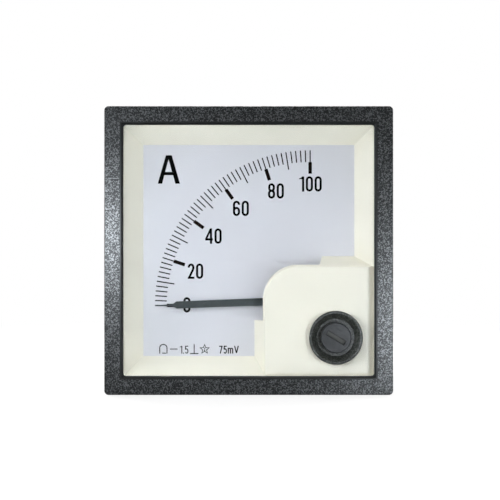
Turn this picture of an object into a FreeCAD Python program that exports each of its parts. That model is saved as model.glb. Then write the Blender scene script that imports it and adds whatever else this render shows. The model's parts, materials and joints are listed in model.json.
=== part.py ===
import FreeCAD, Part
import Sketcher
import math
import os
from types import SimpleNamespace

# Analog panel meter for a 68 x 68 mm panel cut-out, with a core magnet movement in one corner.
# Lengths are in millimetres and angles in degrees. X is right, Z is up and +Y leads into the
# panel. The origin is the middle of the bezel's rear face, which seats on the panel.
SIZES = {
    # Bezel, window and case
    "front_size": 72.0,
    "bezel_depth": 5.0,
    "bezel_border": 4.65,
    "bezel_corner": 1.1,
    "bezel_edge": 0.3,
    "bezel_chamfer": 0.45,
    "lip_thickness": 1.0,
    "window_thickness": 1.5,
    "fit_gap": 0.1,
    "case_inset": 2.7,
    "case_depth": 44.5,
    "case_wall": 1.7,
    "case_corner": 2.0,
    "rear_wall": 2.5,
    "clamp_slot_width": 9.0,
    "clamp_slot_start": 7.0,
    "clamp_slot_length": 31.0,
    "clamp_slot_depth": 0.9,
    "clamp_hook_length": 2.4,
    # Mask and the cover in its corner
    "mask_depth": 6.0,
    "mask_wall": 1.0,
    "mask_slope": 4.25,
    "cover_length": 29.2,
    "cover_slope": 2.65,
    "cover_corner": 8.3,
    "cover_thickness": 1.2,
    "cover_wall": 1.2,
    "end_wall_length": 15.8,
    "end_wall_slope": 1.5,
    # Dial, its screws and the chassis plate
    "dial_gap": 1.7,
    "dial_corner": 1.0,
    "dial_thickness": 0.7,
    "dial_screw_radius": 0.7,
    "dial_screw_head": 1.35,
    "dial_screw_head_height": 0.7,
    "dial_screw_margin": 4.7,
    "dial_screw_inset": 19.0,
    "chassis_size": 30.0,
    "chassis_gap": 2.0,
    "chassis_thickness": 1.2,
    "chassis_corner": 2.0,
    "chassis_screw_inset": 3.0,
    "chassis_screw_radius": 1.0,
    "chassis_screw_head": 1.9,
    "chassis_screw_length": 8.0,
    "thread_gap": 0.02,
    "post_radius": 2.6,
    "dial_seat": 4.0,
    "post_rib": 1.2,
    # Movement
    "pivot_from_side": 17.53,
    "pivot_from_bottom": 19.17,
    "core_radius": 6.4,
    "gap_inner": 8.6,
    "yoke_radius": 11.8,
    "yoke_depth": 10.2,
    "core_inset": 0.3,
    "spacer_inset": 1.2,
    "spacer_angle": 40.0,
    "movement_hole": 8.75,
    "pillar_distance": 10.2,
    "pillar_radius": 1.9,
    "bolt_radius": 1.0,
    "bolt_head": 1.7,
    "bolt_head_height": 0.7,
    "bolt_nut": 2.0,
    "bolt_nut_height": 1.3,
    "hole_gap": 0.06,
    "rear_pillar_length": 3.2,
    "bridge_half_width": 2.0,
    "bridge_corner": 1.8,
    "front_bridge_thickness": 0.9,
    "rear_bridge_thickness": 1.2,
    "jewel_screw_radius": 0.9,
    "jewel_cup": 0.45,
    "jewel_cup_mouth": 0.7,
    "jewel_cup_floor": 0.14,
    "front_nut_height": 0.35,
    "rear_nut_height": 1.0,
    "jewel_nut_radius": 2.2,
    # Coil, staffs and hairsprings
    "coil_half_width": 6.9,
    "former_sheet": 0.3,
    "former_breadth": 3.4,
    "winding_height": 0.7,
    "winding_breadth": 3.0,
    "core_clearance": 0.6,
    "staff_radius": 0.35,
    "staff_point": 0.6,
    "staff_tip": 0.07,
    "staff_foot_radius": 1.4,
    "staff_foot_height": 0.3,
    "pivot_play": 0.05,
    "hairspring_start": 1.0,
    "hairspring_step": 0.34,
    "hairspring_sheet": 0.12,
    "hairspring_breadth": 0.4,
    "hairspring_room": 0.25,
    "anchor_sheet": 0.4,
    "anchor_length": 0.8,
    # Zero adjuster
    "adjuster_inset": 11.5,
    "bush_flange": 6.7,
    "bush_flange_height": 0.6,
    "bush_barrel": 5.9,
    "dish_mouth": 6.1,
    "dish_floor": 4.7,
    "dish_depth": 1.3,
    "bush_edge": 0.2,
    "collar_recess": 0.6,
    "collar_recess_radius": 2.5,
    "zero_head": 3.8,
    "zero_head_height": 1.35,
    "zero_shank": 1.5,
    "zero_collar": 2.0,
    "shank_gap": 0.06,
    "slot_length": 5.1,
    "slot_width": 1.0,
    "slot_depth": 0.8,
    "slot_angle": 31.0,
    "pin_radius": 0.45,
    "pin_throw": 0.8,
    "fork_gap": 0.14,
    "fork_prong": 0.9,
    "fork_over": 0.8,
    "lever_room": 0.2,
    "lever_thickness": 0.5,
    "lever_play": 0.05,
    "lever_hub": 2.6,
    "lever_boss": 1.6,
    "lever_arm": 1.1,
    "lever_lift": 0.2,
    # Pointer and its balance
    "pointer_tip_gap": 3.23,
    "pointer_tilt": 2.08,
    "pointer_sheet": 0.15,
    "pointer_fold": 0.5,
    "needle_length": 4.4,
    "needle_tip": 0.28,
    "needle_root": 0.52,
    "shoulder_length": 1.0,
    "blade_start": 1.8,
    "blade_end": 1.98,
    "pointer_room": 0.4,
    "pointer_hub": 2.5,
    "balance_hub": 1.3,
    "balance_arm_radius": 0.3,
    "tail_arm": 7.1,
    "side_arm": 5.2,
    "tail_weight_radius": 1.3,
    "tail_weight_length": 2.55,
    "side_weight_radius": 0.9,
    "upper_weight_length": 1.2,
    "lower_weight_length": 1.5,
    "stop_distance": 9.2,
    "stop_radius": 0.4,
    "stop_travel": 5.0,
    # Terminals and series resistor
    "terminal_pitch": 32.0,
    "terminal_height": 12.0,
    "stud_radius": 2.0,
    "stud_free": 4.4,
    "stud_tip_radius": 1.8,
    "stud_tip_bevel": 0.4,
    "stud_flange": 4.2,
    "stud_flange_height": 1.6,
    "stud_hole_gap": 0.1,
    "boss_radius": 6.0,
    "boss_height": 1.5,
    "inner_boss_radius": 4.6,
    "inner_boss_height": 1.2,
    "nut_across_flats": 7.0,
    "nut_height": 3.2,
    "washer_radius": 4.5,
    "washer_thickness": 0.8,
    "spring_washer_radius": 3.5,
    "spring_washer_thickness": 1.0,
    "spring_washer_gap": 0.9,
    "card_height": 10.0,
    "card_thickness": 1.2,
    "card_margin": 5.0,
    "resistor_length": 18.0,
    "resistor_winding": 0.7,
    # Lead wires from the terminals to the movement
    "lead_radius": 0.45,
    "lead_run": 8.0,
    "lead_bend": 3.0,
    "lead_side": 4.5,
    "bridge_contact": 6.2,
    "chassis_contact_side": 8.4,
    "chassis_contact_down": 3.4,
}

UP_RIGHT = 45.0
UP = 90.0
LEFT = 180.0
HALF_TURNS = 8
HEX = 6
CLAMP_RECESSES = 3
# Width and depth of a small screw's slot, as a share of its head's radius
SLOT_SHARE = 0.25
# Two lengths closer than this are the same
TOLERANCE = 1e-6

doc = FreeCAD.newDocument("PanelMeter")
sheet = doc.addObject("Spreadsheet::Sheet", "Sizes")
nodes = {}


class Term:
    """A number together with the spreadsheet expression that gives it."""

    def __init__(self, text, value):
        self.text = text
        self.value = value

    def __add__(self, other):
        return combine(self, "+", other)

    def __radd__(self, other):
        return combine(other, "+", self)

    def __sub__(self, other):
        return combine(self, "-", other)

    def __rsub__(self, other):
        return combine(other, "-", self)

    def __mul__(self, other):
        return combine(self, "*", other)

    def __rmul__(self, other):
        return combine(other, "*", self)

    def __truediv__(self, other):
        return combine(self, "/", other)

    def __neg__(self):
        return combine(0, "-", self)


def term(number):
    """A plain number as a term, or the term itself."""
    return number if isinstance(number, Term) else Term(repr(float(number)), float(number))


def combine(left, sign, right):
    """The term for left sign right."""
    left = term(left)
    right = term(right)
    results = {
        "+": lambda: left.value + right.value,
        "-": lambda: left.value - right.value,
        "*": lambda: left.value * right.value,
        "/": lambda: left.value / right.value,
    }
    return Term(f"({left.text} {sign} {right.text})", results[sign]())


def cosine(angle):
    angle = term(angle)
    return Term(f"cos({angle.text})", math.cos(math.radians(angle.value)))


def sine(angle):
    angle = term(angle)
    return Term(f"sin({angle.text})", math.sin(math.radians(angle.value)))


def distance(across, up):
    """The length of the line from the origin to (across, up)."""
    return Term(f"hypot({across.text}; {up.text})", math.hypot(across.value, up.value))


def heading(across, up):
    """The angle of the line from the origin to (across, up), counter-clockwise from +X."""
    value = math.degrees(math.atan2(up.value, across.value))
    return Term(f"(atan2({up.text}; {across.text}) / 1deg)", value)


def fill_sheet():
    """Writes the sizes into the spreadsheet and returns a term for each."""
    terms = {}
    for row, (name, number) in enumerate(SIZES.items(), start=1):
        sheet.set(f"A{row}", name)
        sheet.set(f"B{row}", str(number))
        sheet.setAlias(f"B{row}", name)
        terms[name] = Term(f"Sizes.{name}", number)
    doc.recompute()
    return SimpleNamespace(**terms)


def bind(thing, **sizes):
    """Binds properties of an object to terms."""
    for name, value in sizes.items():
        thing.setExpression(name, term(value).text)


def place(thing, across, depth, up):
    """Binds an object's position to terms."""
    for axis, value in zip("xyz", (across, depth, up)):
        thing.setExpression(f"Placement.Base.{axis}", term(value).text)


def into_panel():
    """A placement that turns a primitive's own Z axis to +Y."""
    return FreeCAD.Placement(FreeCAD.Vector(), FreeCAD.Rotation(FreeCAD.Vector(1, 0, 0), -90))


def node(name, thing):
    """Gives an object the name under which it is exported."""
    thing.Label = name
    nodes[name] = thing
    return thing


# Primitives whose axis leads into the panel


def rod(name, centre, front, rear, radius):
    """A cylinder from the level front to the level rear."""
    made = doc.addObject("Part::Cylinder", name)
    made.Placement = into_panel()
    bind(made, Radius=radius, Height=rear - front)
    place(made, centre[0], front, centre[1])
    return made


def cone(name, centre, front, rear, front_radius, rear_radius):
    """A cone from the level front to the level rear."""
    made = doc.addObject("Part::Cone", name)
    made.Placement = into_panel()
    bind(made, Radius1=front_radius, Radius2=rear_radius, Height=rear - front)
    place(made, centre[0], front, centre[1])
    return made


def block(name, left, right, front, rear, low, high):
    """A box between six levels."""
    made = doc.addObject("Part::Box", name)
    bind(made, Length=right - left, Width=rear - front, Height=high - low)
    place(made, left, front, low)
    return made


def frustum(name, front, rear, front_rectangle, rear_rectangle):
    """A block that tapers from one rectangle (left, right, low, high) to another."""
    made = doc.addObject("Part::Wedge", name)
    left, right, low, high = front_rectangle
    bind(made, Ymin=front, Xmin=left, Xmax=right, Zmin=low, Zmax=high)
    left, right, low, high = rear_rectangle
    bind(made, Ymax=rear, X2min=left, X2max=right, Z2min=low, Z2max=high)
    return made


def cut(name, base, tool):
    made = doc.addObject("Part::Cut", name)
    made.Base = base
    made.Tool = tool
    return made


def fuse(name, *things):
    made = doc.addObject("Part::MultiFuse", name)
    made.Shapes = list(things)
    made.Refine = True
    return made


def square(half):
    """The rectangle with this half width about the middle."""
    return (-half, half, -half, half)


# Sketches and features of a body


def new_body(name):
    return node(name, doc.addObject("PartDesign::Body", name))


def sketch(body, role, offset):
    """An empty sketch on one of the body's origin planes, moved along the plane's normal."""
    made = body.newObject("Sketcher::SketchObject", f"{body.Name}_sketch")
    plane = next(feature for feature in body.Origin.OriginFeatures if feature.Role == role)
    made.AttachmentSupport = [(plane, "")]
    made.MapMode = "FlatFace"
    made.setExpression("AttachmentOffset.Base.z", term(offset).text)
    return made


def facing(body, depth):
    """A sketch that faces the viewer at this depth: its own axes are X and Z."""
    return sketch(body, "XZ_Plane", -depth)


def pin_point(drawing, geometry, point, across, up):
    """Ties one point of a sketch to its place."""
    for kind, value in (("DistanceX", across), ("DistanceY", up)):
        tied = Sketcher.Constraint(kind, -1, 1, geometry, point, term(value).value)
        index = drawing.addConstraint(tied)
        drawing.setExpression(f"Constraints[{index}]", term(value).text)


def draw_polygon(drawing, corners):
    """A closed outline of straight edges through the corners."""
    first = drawing.GeometryCount
    points = [FreeCAD.Vector(term(x).value, term(y).value, 0) for x, y in corners]
    for start, end in zip(points, points[1:] + points[:1]):
        drawing.addGeometry(Part.LineSegment(start, end), False)
    for index in range(len(points)):
        following = first + (index + 1) % len(points)
        drawing.addConstraint(Sketcher.Constraint("Coincident", first + index, 2, following, 1))
    for index, (across, up) in enumerate(corners):
        pin_point(drawing, first + index, 1, across, up)


def draw_rectangle(drawing, left, right, low, high):
    draw_polygon(drawing, [(left, low), (right, low), (right, high), (left, high)])


def draw_circle(drawing, centre, radius):
    middle = FreeCAD.Vector(term(centre[0]).value, term(centre[1]).value, 0)
    index = drawing.addGeometry(Part.Circle(middle, FreeCAD.Vector(0, 0, 1), term(radius).value))
    sized = drawing.addConstraint(Sketcher.Constraint("Radius", index, term(radius).value))
    drawing.setExpression(f"Constraints[{sized}]", term(radius).text)
    pin_point(drawing, index, 3, centre[0], centre[1])


def pad(body, drawing, length):
    """Adds material from the sketch towards the viewer."""
    made = body.newObject("PartDesign::Pad", f"{body.Name}_pad")
    made.Profile = drawing
    bind(made, Length=length)
    return made


def pocket(body, drawing, length):
    """Takes material away from the sketch into the panel."""
    made = body.newObject("PartDesign::Pocket", f"{body.Name}_pocket")
    made.Profile = drawing
    bind(made, Length=length)
    return made


def revolve(body, drawing):
    """Turns a profile once round the body's Y axis."""
    made = body.newObject("PartDesign::Revolution", f"{body.Name}_turned")
    made.Profile = drawing
    made.ReferenceAxis = (drawing, ["V_Axis"])
    made.Angle = 360
    return made


def dress_edges(body, kind, size, wanted):
    """A fillet or a chamfer on the edges that the test picks."""
    doc.recompute()
    base = body.Tip
    names = [f"Edge{i}" for i, edge in enumerate(base.Shape.Edges, start=1) if wanted(edge)]
    made = body.newObject(f"PartDesign::{kind}", f"{body.Name}_{kind.lower()}")
    made.Base = (base, names)
    bind(made, **{"Radius" if kind == "Fillet" else "Size": size})
    return made


def box_of(edge):
    return edge.BoundBox


def runs_inward(edge):
    """Whether an edge is straight and leads into the panel."""
    box = box_of(edge)
    return box.YLength > TOLERANCE and max(box.XLength, box.ZLength) < TOLERANCE


def lies_at(edge, depth):
    """Whether a whole edge lies at this depth."""
    box = box_of(edge)
    return box.YLength < TOLERANCE and abs(box.YMin - depth.value) < TOLERANCE


def reaches(edge, half):
    """Whether a whole edge lies on the outline of the square with this half width."""
    box = box_of(edge)
    farthest = max(abs(box.Center.x), abs(box.Center.z))
    return abs(farthest - half.value) < TOLERANCE


s = fill_sheet()

# Levels along Y, from the bezel's front to the terminals
bezel_front = -s.bezel_depth
window_front = bezel_front + s.lip_thickness
mask_front = window_front + s.window_thickness
cover_rear = mask_front + s.cover_thickness
dial_front = mask_front + s.mask_depth
dial_rear = dial_front + s.dial_thickness
chassis_rear = dial_rear + s.chassis_thickness
yoke_rear = chassis_rear + s.yoke_depth
inner_rear = s.case_depth - s.rear_wall
lock_nut_front = cover_rear + s.lever_room
boss_front = lock_nut_front + s.front_nut_height
lever_front = boss_front + s.lever_play
lever_rear = lever_front + s.lever_thickness
bridge_front = lever_rear + s.lever_lift
bridge_rear = bridge_front + s.front_bridge_thickness
spring_front = bridge_rear + s.hairspring_room
spring_rear = spring_front + s.hairspring_breadth
pointer_front = spring_rear + s.pointer_room
pointer_rear = pointer_front + s.pointer_fold
core_front = chassis_rear + s.core_inset
core_rear = yoke_rear - s.core_inset
former_inner_front = core_front - s.core_clearance
former_inner_rear = core_rear + s.core_clearance
former_front = former_inner_front - s.former_sheet
former_rear = former_inner_rear + s.former_sheet
winding_front = former_front - s.winding_height
winding_rear = former_rear + s.winding_height
rear_bridge_front = yoke_rear + s.rear_pillar_length
rear_bridge_rear = rear_bridge_front + s.rear_bridge_thickness
boss_rear = s.case_depth + s.boss_height
stud_flange_rear = inner_rear - s.inner_boss_height - s.card_thickness
stud_flange_front = stud_flange_rear - s.stud_flange_height

# Half widths and places on the front
bezel_half = s.front_size / 2
opening_half = bezel_half - s.bezel_border
view_half = opening_half - s.mask_slope
case_half = bezel_half - s.case_inset
case_inner_half = case_half - s.case_wall
dial_half = case_inner_half - s.dial_gap
chassis_far = case_inner_half - s.chassis_gap
chassis_near = chassis_far - s.chassis_size
adjuster = (case_half - s.adjuster_inset, s.adjuster_inset - case_half)
pivot = (case_half - s.pivot_from_side, s.pivot_from_bottom - case_half)
pointer_reach = pivot[0] + view_half - s.pointer_tip_gap
arm_length = distance(adjuster[0] - pivot[0], adjuster[1] - pivot[1])
arm_heading = heading(adjuster[0] - pivot[0], adjuster[1] - pivot[1])
hairspring_end = s.hairspring_start + HALF_TURNS * s.hairspring_step + s.hairspring_sheet / 2


def polar(centre, reach, angle):
    """The point at this reach and angle from a centre."""
    return (centre[0] + reach * cosine(angle), centre[1] + reach * sine(angle))


pillars = {
    "upper": polar(pivot, s.pillar_distance, UP_RIGHT),
    "lower": polar(pivot, s.pillar_distance, UP_RIGHT + LEFT),
}
chassis_screw_near = chassis_near + s.chassis_screw_inset
chassis_screw_far = chassis_far - s.chassis_screw_inset
chassis_screws = [
    (across, -down)
    for down in (chassis_screw_near, chassis_screw_far)
    for across in (chassis_screw_near, chassis_screw_far)
]
dial_screws = [
    (dial_half - s.dial_screw_inset, s.dial_screw_margin - dial_half),
    (dial_half - s.dial_screw_margin, s.dial_screw_inset - dial_half),
]
terminals = {
    "minus": (-s.terminal_pitch / 2, s.terminal_height),
    "plus": (s.terminal_pitch / 2, s.terminal_height),
}
# The blade passes the pivot on one side, so its two edges reach their stops at unlike distances
blade_offset = (pointer_reach - s.stop_distance) * sine(s.pointer_tilt)
stop_room = s.blade_end / 2 + s.stop_radius + s.stop_distance * sine(s.stop_travel)
stop_places = {
    "zero": (pivot[0] - s.stop_distance, pivot[1] + blade_offset - stop_room),
    "full": (pivot[0] + blade_offset + stop_room, pivot[1] + s.stop_distance),
}


def bezel():
    """Moulded frame with a lip in front of the window and a pocket for the case."""
    body = new_body("bezel")
    outline = facing(body, term(0))
    draw_rectangle(outline, *square(bezel_half))
    pad(body, outline, s.bezel_depth)
    recess = facing(body, window_front)
    draw_rectangle(recess, *square(case_half + s.fit_gap))
    pocket(body, recess, s.bezel_depth - s.lip_thickness)
    opening = facing(body, bezel_front)
    draw_rectangle(opening, *square(opening_half))
    pocket(body, opening, s.lip_thickness)
    dress_edges(body, "Chamfer", s.bezel_chamfer,
                lambda edge: lies_at(edge, bezel_front) and reaches(edge, opening_half))
    dress_edges(body, "Fillet", s.bezel_corner,
                lambda edge: runs_inward(edge) and reaches(edge, bezel_half))
    dress_edges(body, "Fillet", s.bezel_edge,
                lambda edge: lies_at(edge, bezel_front) and outside(edge, case_half))


def outside(edge, half):
    """Whether an edge's middle lies outside the square with this half width."""
    middle = box_of(edge).Center
    return max(abs(middle.x), abs(middle.z)) > half.value


def case():
    """Deep tub with seats for the dial, posts for the chassis and bosses for the terminals."""
    body = new_body("case")
    outline = facing(body, s.case_depth)
    draw_rectangle(outline, *square(case_half))
    pad(body, outline, s.case_depth - cover_rear)
    dress_edges(body, "Fillet", s.case_corner, runs_inward)
    inside = facing(body, cover_rear)
    draw_rectangle(inside, *square(case_inner_half))
    pocket(body, inside, inner_rear - cover_rear)
    seats = facing(body, inner_rear)
    seat = case_inner_half - s.dial_seat
    for left, right, low, high in (
        (-case_inner_half, -seat, seat, case_inner_half),
        (seat, case_inner_half, seat, case_inner_half),
        (-case_inner_half, -seat, -case_inner_half, -seat),
    ):
        draw_rectangle(seats, left, right, low, high)
    pad(body, seats, inner_rear - dial_rear)
    posts = facing(body, inner_rear)
    for centre in chassis_screws:
        draw_circle(posts, centre, s.post_radius)
    pad(body, posts, inner_rear - chassis_rear)
    ribs = facing(body, inner_rear)
    for across, up in chassis_screws[1::2]:
        draw_rectangle(ribs, across, case_half - s.case_wall / 2,
                       up - s.post_rib / 2, up + s.post_rib / 2)
    pad(body, ribs, inner_rear - chassis_rear - s.chassis_screw_length)
    inner_bosses = facing(body, inner_rear)
    outer_bosses = facing(body, boss_rear)
    holes = facing(body, inner_rear - s.inner_boss_height)
    for centre in terminals.values():
        draw_circle(inner_bosses, centre, s.inner_boss_radius)
        draw_circle(outer_bosses, centre, s.boss_radius)
        draw_circle(holes, centre, s.stud_radius + s.stud_hole_gap)
    pad(body, inner_bosses, s.inner_boss_height)
    pad(body, outer_bosses, s.boss_height)
    pocket(body, holes, boss_rear - inner_rear + s.inner_boss_height)
    pilots = facing(body, chassis_rear)
    for centre in chassis_screws:
        draw_circle(pilots, centre, s.chassis_screw_radius + s.thread_gap)
    pocket(body, pilots, s.chassis_screw_length)
    for side in (case_half, s.clamp_slot_depth - case_half):
        slot = sketch(body, "YZ_Plane", side)
        half = s.clamp_slot_width / 2
        start = s.clamp_slot_start
        pitch = s.clamp_slot_length / CLAMP_RECESSES
        for count in range(CLAMP_RECESSES):
            draw_rectangle(slot, start, start + pitch - s.clamp_hook_length, -half, half)
            start = start + pitch
        pocket(body, slot, s.clamp_slot_depth)


def window():
    """Flat clear sheet with a hole for the adjuster's bush."""
    sheet_block = block("window_sheet", -case_half, case_half, window_front, mask_front,
                        -case_half, case_half)
    hole = rod("window_hole", adjuster, window_front, mask_front, s.bush_barrel + s.fit_gap)
    node("window", cut("window", sheet_block, hole))


def mask():
    """Funnel round the dial, and the cover over the movement that the pointer passes beneath."""
    outer = frustum("mask_outer", mask_front, dial_front,
                    square(opening_half + s.mask_wall), square(view_half + s.mask_wall))
    flange = block("mask_flange", -case_half, case_half, mask_front, cover_rear,
                   -case_half, case_half)
    view = frustum("mask_view", mask_front, dial_front, square(opening_half), square(view_half))
    cover_cut = cut("mask_open_view", view, corner_cover())
    raw = cut("mask_funnel", fuse("mask_walls", flange, outer), cover_cut)
    hole = rod("mask_hole", adjuster, mask_front, cover_rear, s.bush_barrel)
    node("mask", cut("mask", raw, hole))


def corner_cover():
    """Raised plate with a round corner, and sloped walls where the pointer never passes."""
    far = case_half
    edge = far - s.cover_length
    base = edge - s.cover_slope
    slope = s.cover_slope / s.mask_depth
    lower_edge = edge - slope * s.cover_thickness
    outer = frustum("cover_outer", mask_front, dial_front,
                    (edge, far, -far, -edge), (base, far, -far, -base))
    wall = s.cover_wall
    inner = frustum("cover_inner", cover_rear, dial_front,
                    (lower_edge + wall, far, -far, -lower_edge - wall),
                    (base + wall, far, -far, -base - wall))
    hollow = cut("cover_hollow", outer, inner)
    beyond = base - wall
    end = far - s.end_wall_length
    end_base = end + s.end_wall_slope
    sweep = frustum("cover_sweep", cover_rear, dial_front,
                    (beyond, end, -end, -beyond), (beyond, end_base, -end_base, -beyond))
    open_cover = cut("cover_open", hollow, sweep)
    middle = edge + s.cover_corner
    corner = block("cover_corner", beyond, middle, mask_front, cover_rear, -middle, -beyond)
    arc = cone("cover_arc", (middle, -middle), mask_front, cover_rear,
               s.cover_corner, s.cover_corner + slope * s.cover_thickness)
    return cut("corner_cover", open_cover, cut("cover_corner_waste", corner, arc))


def dial_plate():
    """Printed sheet, cut out for the movement under the corner cover."""
    body = new_body("dial_plate")
    outline = facing(body, dial_rear)
    draw_rectangle(outline, *square(dial_half))
    pad(body, outline, s.dial_thickness)
    dress_edges(body, "Fillet", s.dial_corner, runs_inward)
    holes = facing(body, dial_front)
    draw_circle(holes, pivot, s.movement_hole)
    for centre in pillars.values():
        draw_circle(holes, centre, s.pillar_radius + s.fit_gap)
    for centre in stop_places.values():
        draw_circle(holes, centre, s.stop_radius + s.hole_gap)
    for centre in dial_screws:
        draw_circle(holes, centre, s.dial_screw_radius + s.hole_gap)
    pocket(body, holes, s.dial_thickness)


def chassis_plate():
    """Steel plate that carries the movement, with countersunk screw holes."""
    body = new_body("chassis_plate")
    outline = facing(body, chassis_rear)
    draw_rectangle(outline, chassis_near, chassis_far, -chassis_far, -chassis_near)
    pad(body, outline, s.chassis_thickness)
    dress_edges(body, "Fillet", s.chassis_corner, runs_inward)
    holes = facing(body, dial_rear)
    draw_circle(holes, pivot, s.movement_hole)
    for centre in pillars.values():
        draw_circle(holes, centre, s.bolt_radius + s.hole_gap)
    for centre in stop_places.values():
        draw_circle(holes, centre, s.stop_radius)
    for centre in dial_screws:
        draw_circle(holes, centre, s.dial_screw_radius + s.thread_gap)
    for centre in chassis_screws:
        draw_circle(holes, centre, s.chassis_screw_radius + s.hole_gap)
    pocket(body, holes, s.chassis_thickness)
    hole_radius = s.chassis_screw_radius + s.hole_gap
    dress_edges(body, "Chamfer", s.chassis_screw_head - s.chassis_screw_radius,
                lambda edge: lies_at(edge, dial_rear) and has_radius(edge, hole_radius)
                and near_any(edge, chassis_screws))


def has_radius(edge, radius):
    return hasattr(edge.Curve, "Radius") and abs(edge.Curve.Radius - radius.value) < TOLERANCE


def near_any(edge, places):
    """Whether a round edge is centred on one of the places."""
    middle = edge.Curve.Center
    return any(math.hypot(middle.x - x.value, middle.z - z.value) < TOLERANCE
               for x, z in places)


def screw_slot(name, centre, front, head_radius):
    """The box that cuts a screwdriver slot across a head."""
    width = head_radius * SLOT_SHARE
    return block(name, centre[0] - head_radius, centre[0] + head_radius, front, front + width,
                 centre[1] - width / 2, centre[1] + width / 2)


def small_screws():
    """Screws of the dial and the chassis plate."""
    for number, centre in enumerate(dial_screws, start=1):
        name = f"dial_screw_{number}"
        head_front = dial_front - s.dial_screw_head_height
        head = rod(f"{name}_head", centre, head_front, dial_front, s.dial_screw_head)
        shank = rod(f"{name}_shank", centre, dial_front, chassis_rear, s.dial_screw_radius)
        slot = screw_slot(f"{name}_slot", centre, head_front, s.dial_screw_head)
        node(name, cut(name, fuse(f"{name}_blank", head, shank), slot))
    for number, centre in enumerate(chassis_screws, start=1):
        name = f"chassis_screw_{number}"
        taper = s.chassis_screw_head - s.chassis_screw_radius
        head = cone(f"{name}_head", centre, dial_rear, dial_rear + taper,
                    s.chassis_screw_head, s.chassis_screw_radius)
        shank = rod(f"{name}_shank", centre, dial_rear + taper,
                    chassis_rear + s.chassis_screw_length, s.chassis_screw_radius)
        slot = screw_slot(f"{name}_slot", centre, dial_rear, s.chassis_screw_head)
        node(name, cut(name, fuse(f"{name}_blank", head, shank), slot))


def yoke_ring():
    """Soft iron return ring, drilled for the two bridge bolts."""
    ring = rod("yoke_outer", pivot, chassis_rear, yoke_rear, s.yoke_radius)
    bore = rod("yoke_bore", pivot, chassis_rear, yoke_rear, s.gap_inner)
    holes = [rod(f"yoke_hole_{side}", centre, chassis_rear, yoke_rear, s.bolt_radius + s.hole_gap)
             for side, centre in pillars.items()]
    node("yoke_ring", cut("yoke_ring", ring, fuse("yoke_waste", bore, *holes)))


def core():
    """Magnet, held in the ring by two spacers that lie outside the coil's swing."""
    node("core_magnet", rod("core_magnet", pivot, core_front, core_rear, s.core_radius))
    front = core_front + s.spacer_inset
    rear = core_rear - s.spacer_inset
    for side, turn in (("upper", UP_RIGHT), ("lower", UP_RIGHT + LEFT)):
        name = f"core_spacer_{side}"
        outer = rod(f"{name}_outer", pivot, front, rear, s.gap_inner)
        inner = rod(f"{name}_inner", pivot, front, rear, s.core_radius)
        across = FreeCAD.Vector(0, 1, 0)
        start = turn + s.spacer_angle.value / 2
        for sector in (outer, inner):
            bind(sector, Angle=s.spacer_angle)
            sector.Placement.Rotation = (
                FreeCAD.Rotation(across, -start) * into_panel().Rotation)
        node(name, cut(name, outer, inner))


def strap(name, front, rear):
    """Bridge bar along the diagonal, drilled for its bolts and its jewel screw."""
    body = new_body(name)
    body.Placement.Rotation = FreeCAD.Rotation(FreeCAD.Vector(0, 1, 0), -UP_RIGHT)
    place(body, pivot[0], 0, pivot[1])
    outline = facing(body, rear)
    reach = s.pillar_distance
    half = s.bridge_half_width
    draw_rectangle(outline, -reach - half, reach + half, -half, half)
    pad(body, outline, rear - front)
    dress_edges(body, "Fillet", s.bridge_corner, runs_inward)
    return body


def bore_strap(body, front, depth):
    """Drills the bolt holes and the jewel screw's hole through a bridge."""
    holes = facing(body, front)
    for across in (-s.pillar_distance, s.pillar_distance):
        draw_circle(holes, (across, 0), s.bolt_radius + s.hole_gap)
    pocket(body, holes, depth)


def bridges():
    """Front bridge with the boss that the zero lever turns on, and rear bridge with its anchor."""
    front = strap("front_bridge", bridge_front, bridge_rear)
    boss = facing(front, bridge_front)
    draw_circle(boss, (0, 0), s.lever_boss)
    pad(front, boss, bridge_front - boss_front)
    bore_strap(front, bridge_front, s.front_bridge_thickness)
    jewel = facing(front, boss_front)
    draw_circle(jewel, (0, 0), s.jewel_screw_radius)
    pocket(front, jewel, bridge_rear - boss_front)
    rear = strap("rear_bridge", rear_bridge_front, rear_bridge_rear)
    anchor = facing(rear, rear_bridge_front)
    draw_rectangle(anchor, hairspring_end, hairspring_end + s.anchor_length,
                   -s.anchor_sheet, s.anchor_sheet)
    pad(rear, anchor, s.hairspring_room + s.hairspring_breadth)
    bore_strap(rear, rear_bridge_front, s.rear_bridge_thickness)
    jewel = facing(rear, rear_bridge_front)
    draw_circle(jewel, (0, 0), s.jewel_screw_radius)
    pocket(rear, jewel, s.rear_bridge_thickness)


def bridge_fasteners():
    """Pillars, through bolts and nuts of the bridges."""
    for side, centre in pillars.items():
        for name, front, rear in (
            (f"front_pillar_{side}", bridge_rear, dial_rear),
            (f"rear_pillar_{side}", yoke_rear, rear_bridge_front),
        ):
            outer = rod(f"{name}_outer", centre, front, rear, s.pillar_radius)
            bore = rod(f"{name}_bore", centre, front, rear, s.bolt_radius + s.hole_gap)
            node(name, cut(name, outer, bore))
        name = f"bridge_bolt_{side}"
        nut_rear = rear_bridge_rear + s.bolt_nut_height
        head_front = bridge_front - s.bolt_head_height
        head = rod(f"{name}_head", centre, head_front, bridge_front, s.bolt_head)
        shank = rod(f"{name}_shank", centre, bridge_front, nut_rear, s.bolt_radius)
        slot = screw_slot(f"{name}_slot", centre, head_front, s.bolt_head)
        node(name, cut(name, fuse(f"{name}_blank", head, shank), slot))
        hex_nut(f"bridge_nut_{side}", centre, rear_bridge_rear, nut_rear,
                s.bolt_nut, s.bolt_radius + s.thread_gap)


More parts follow.
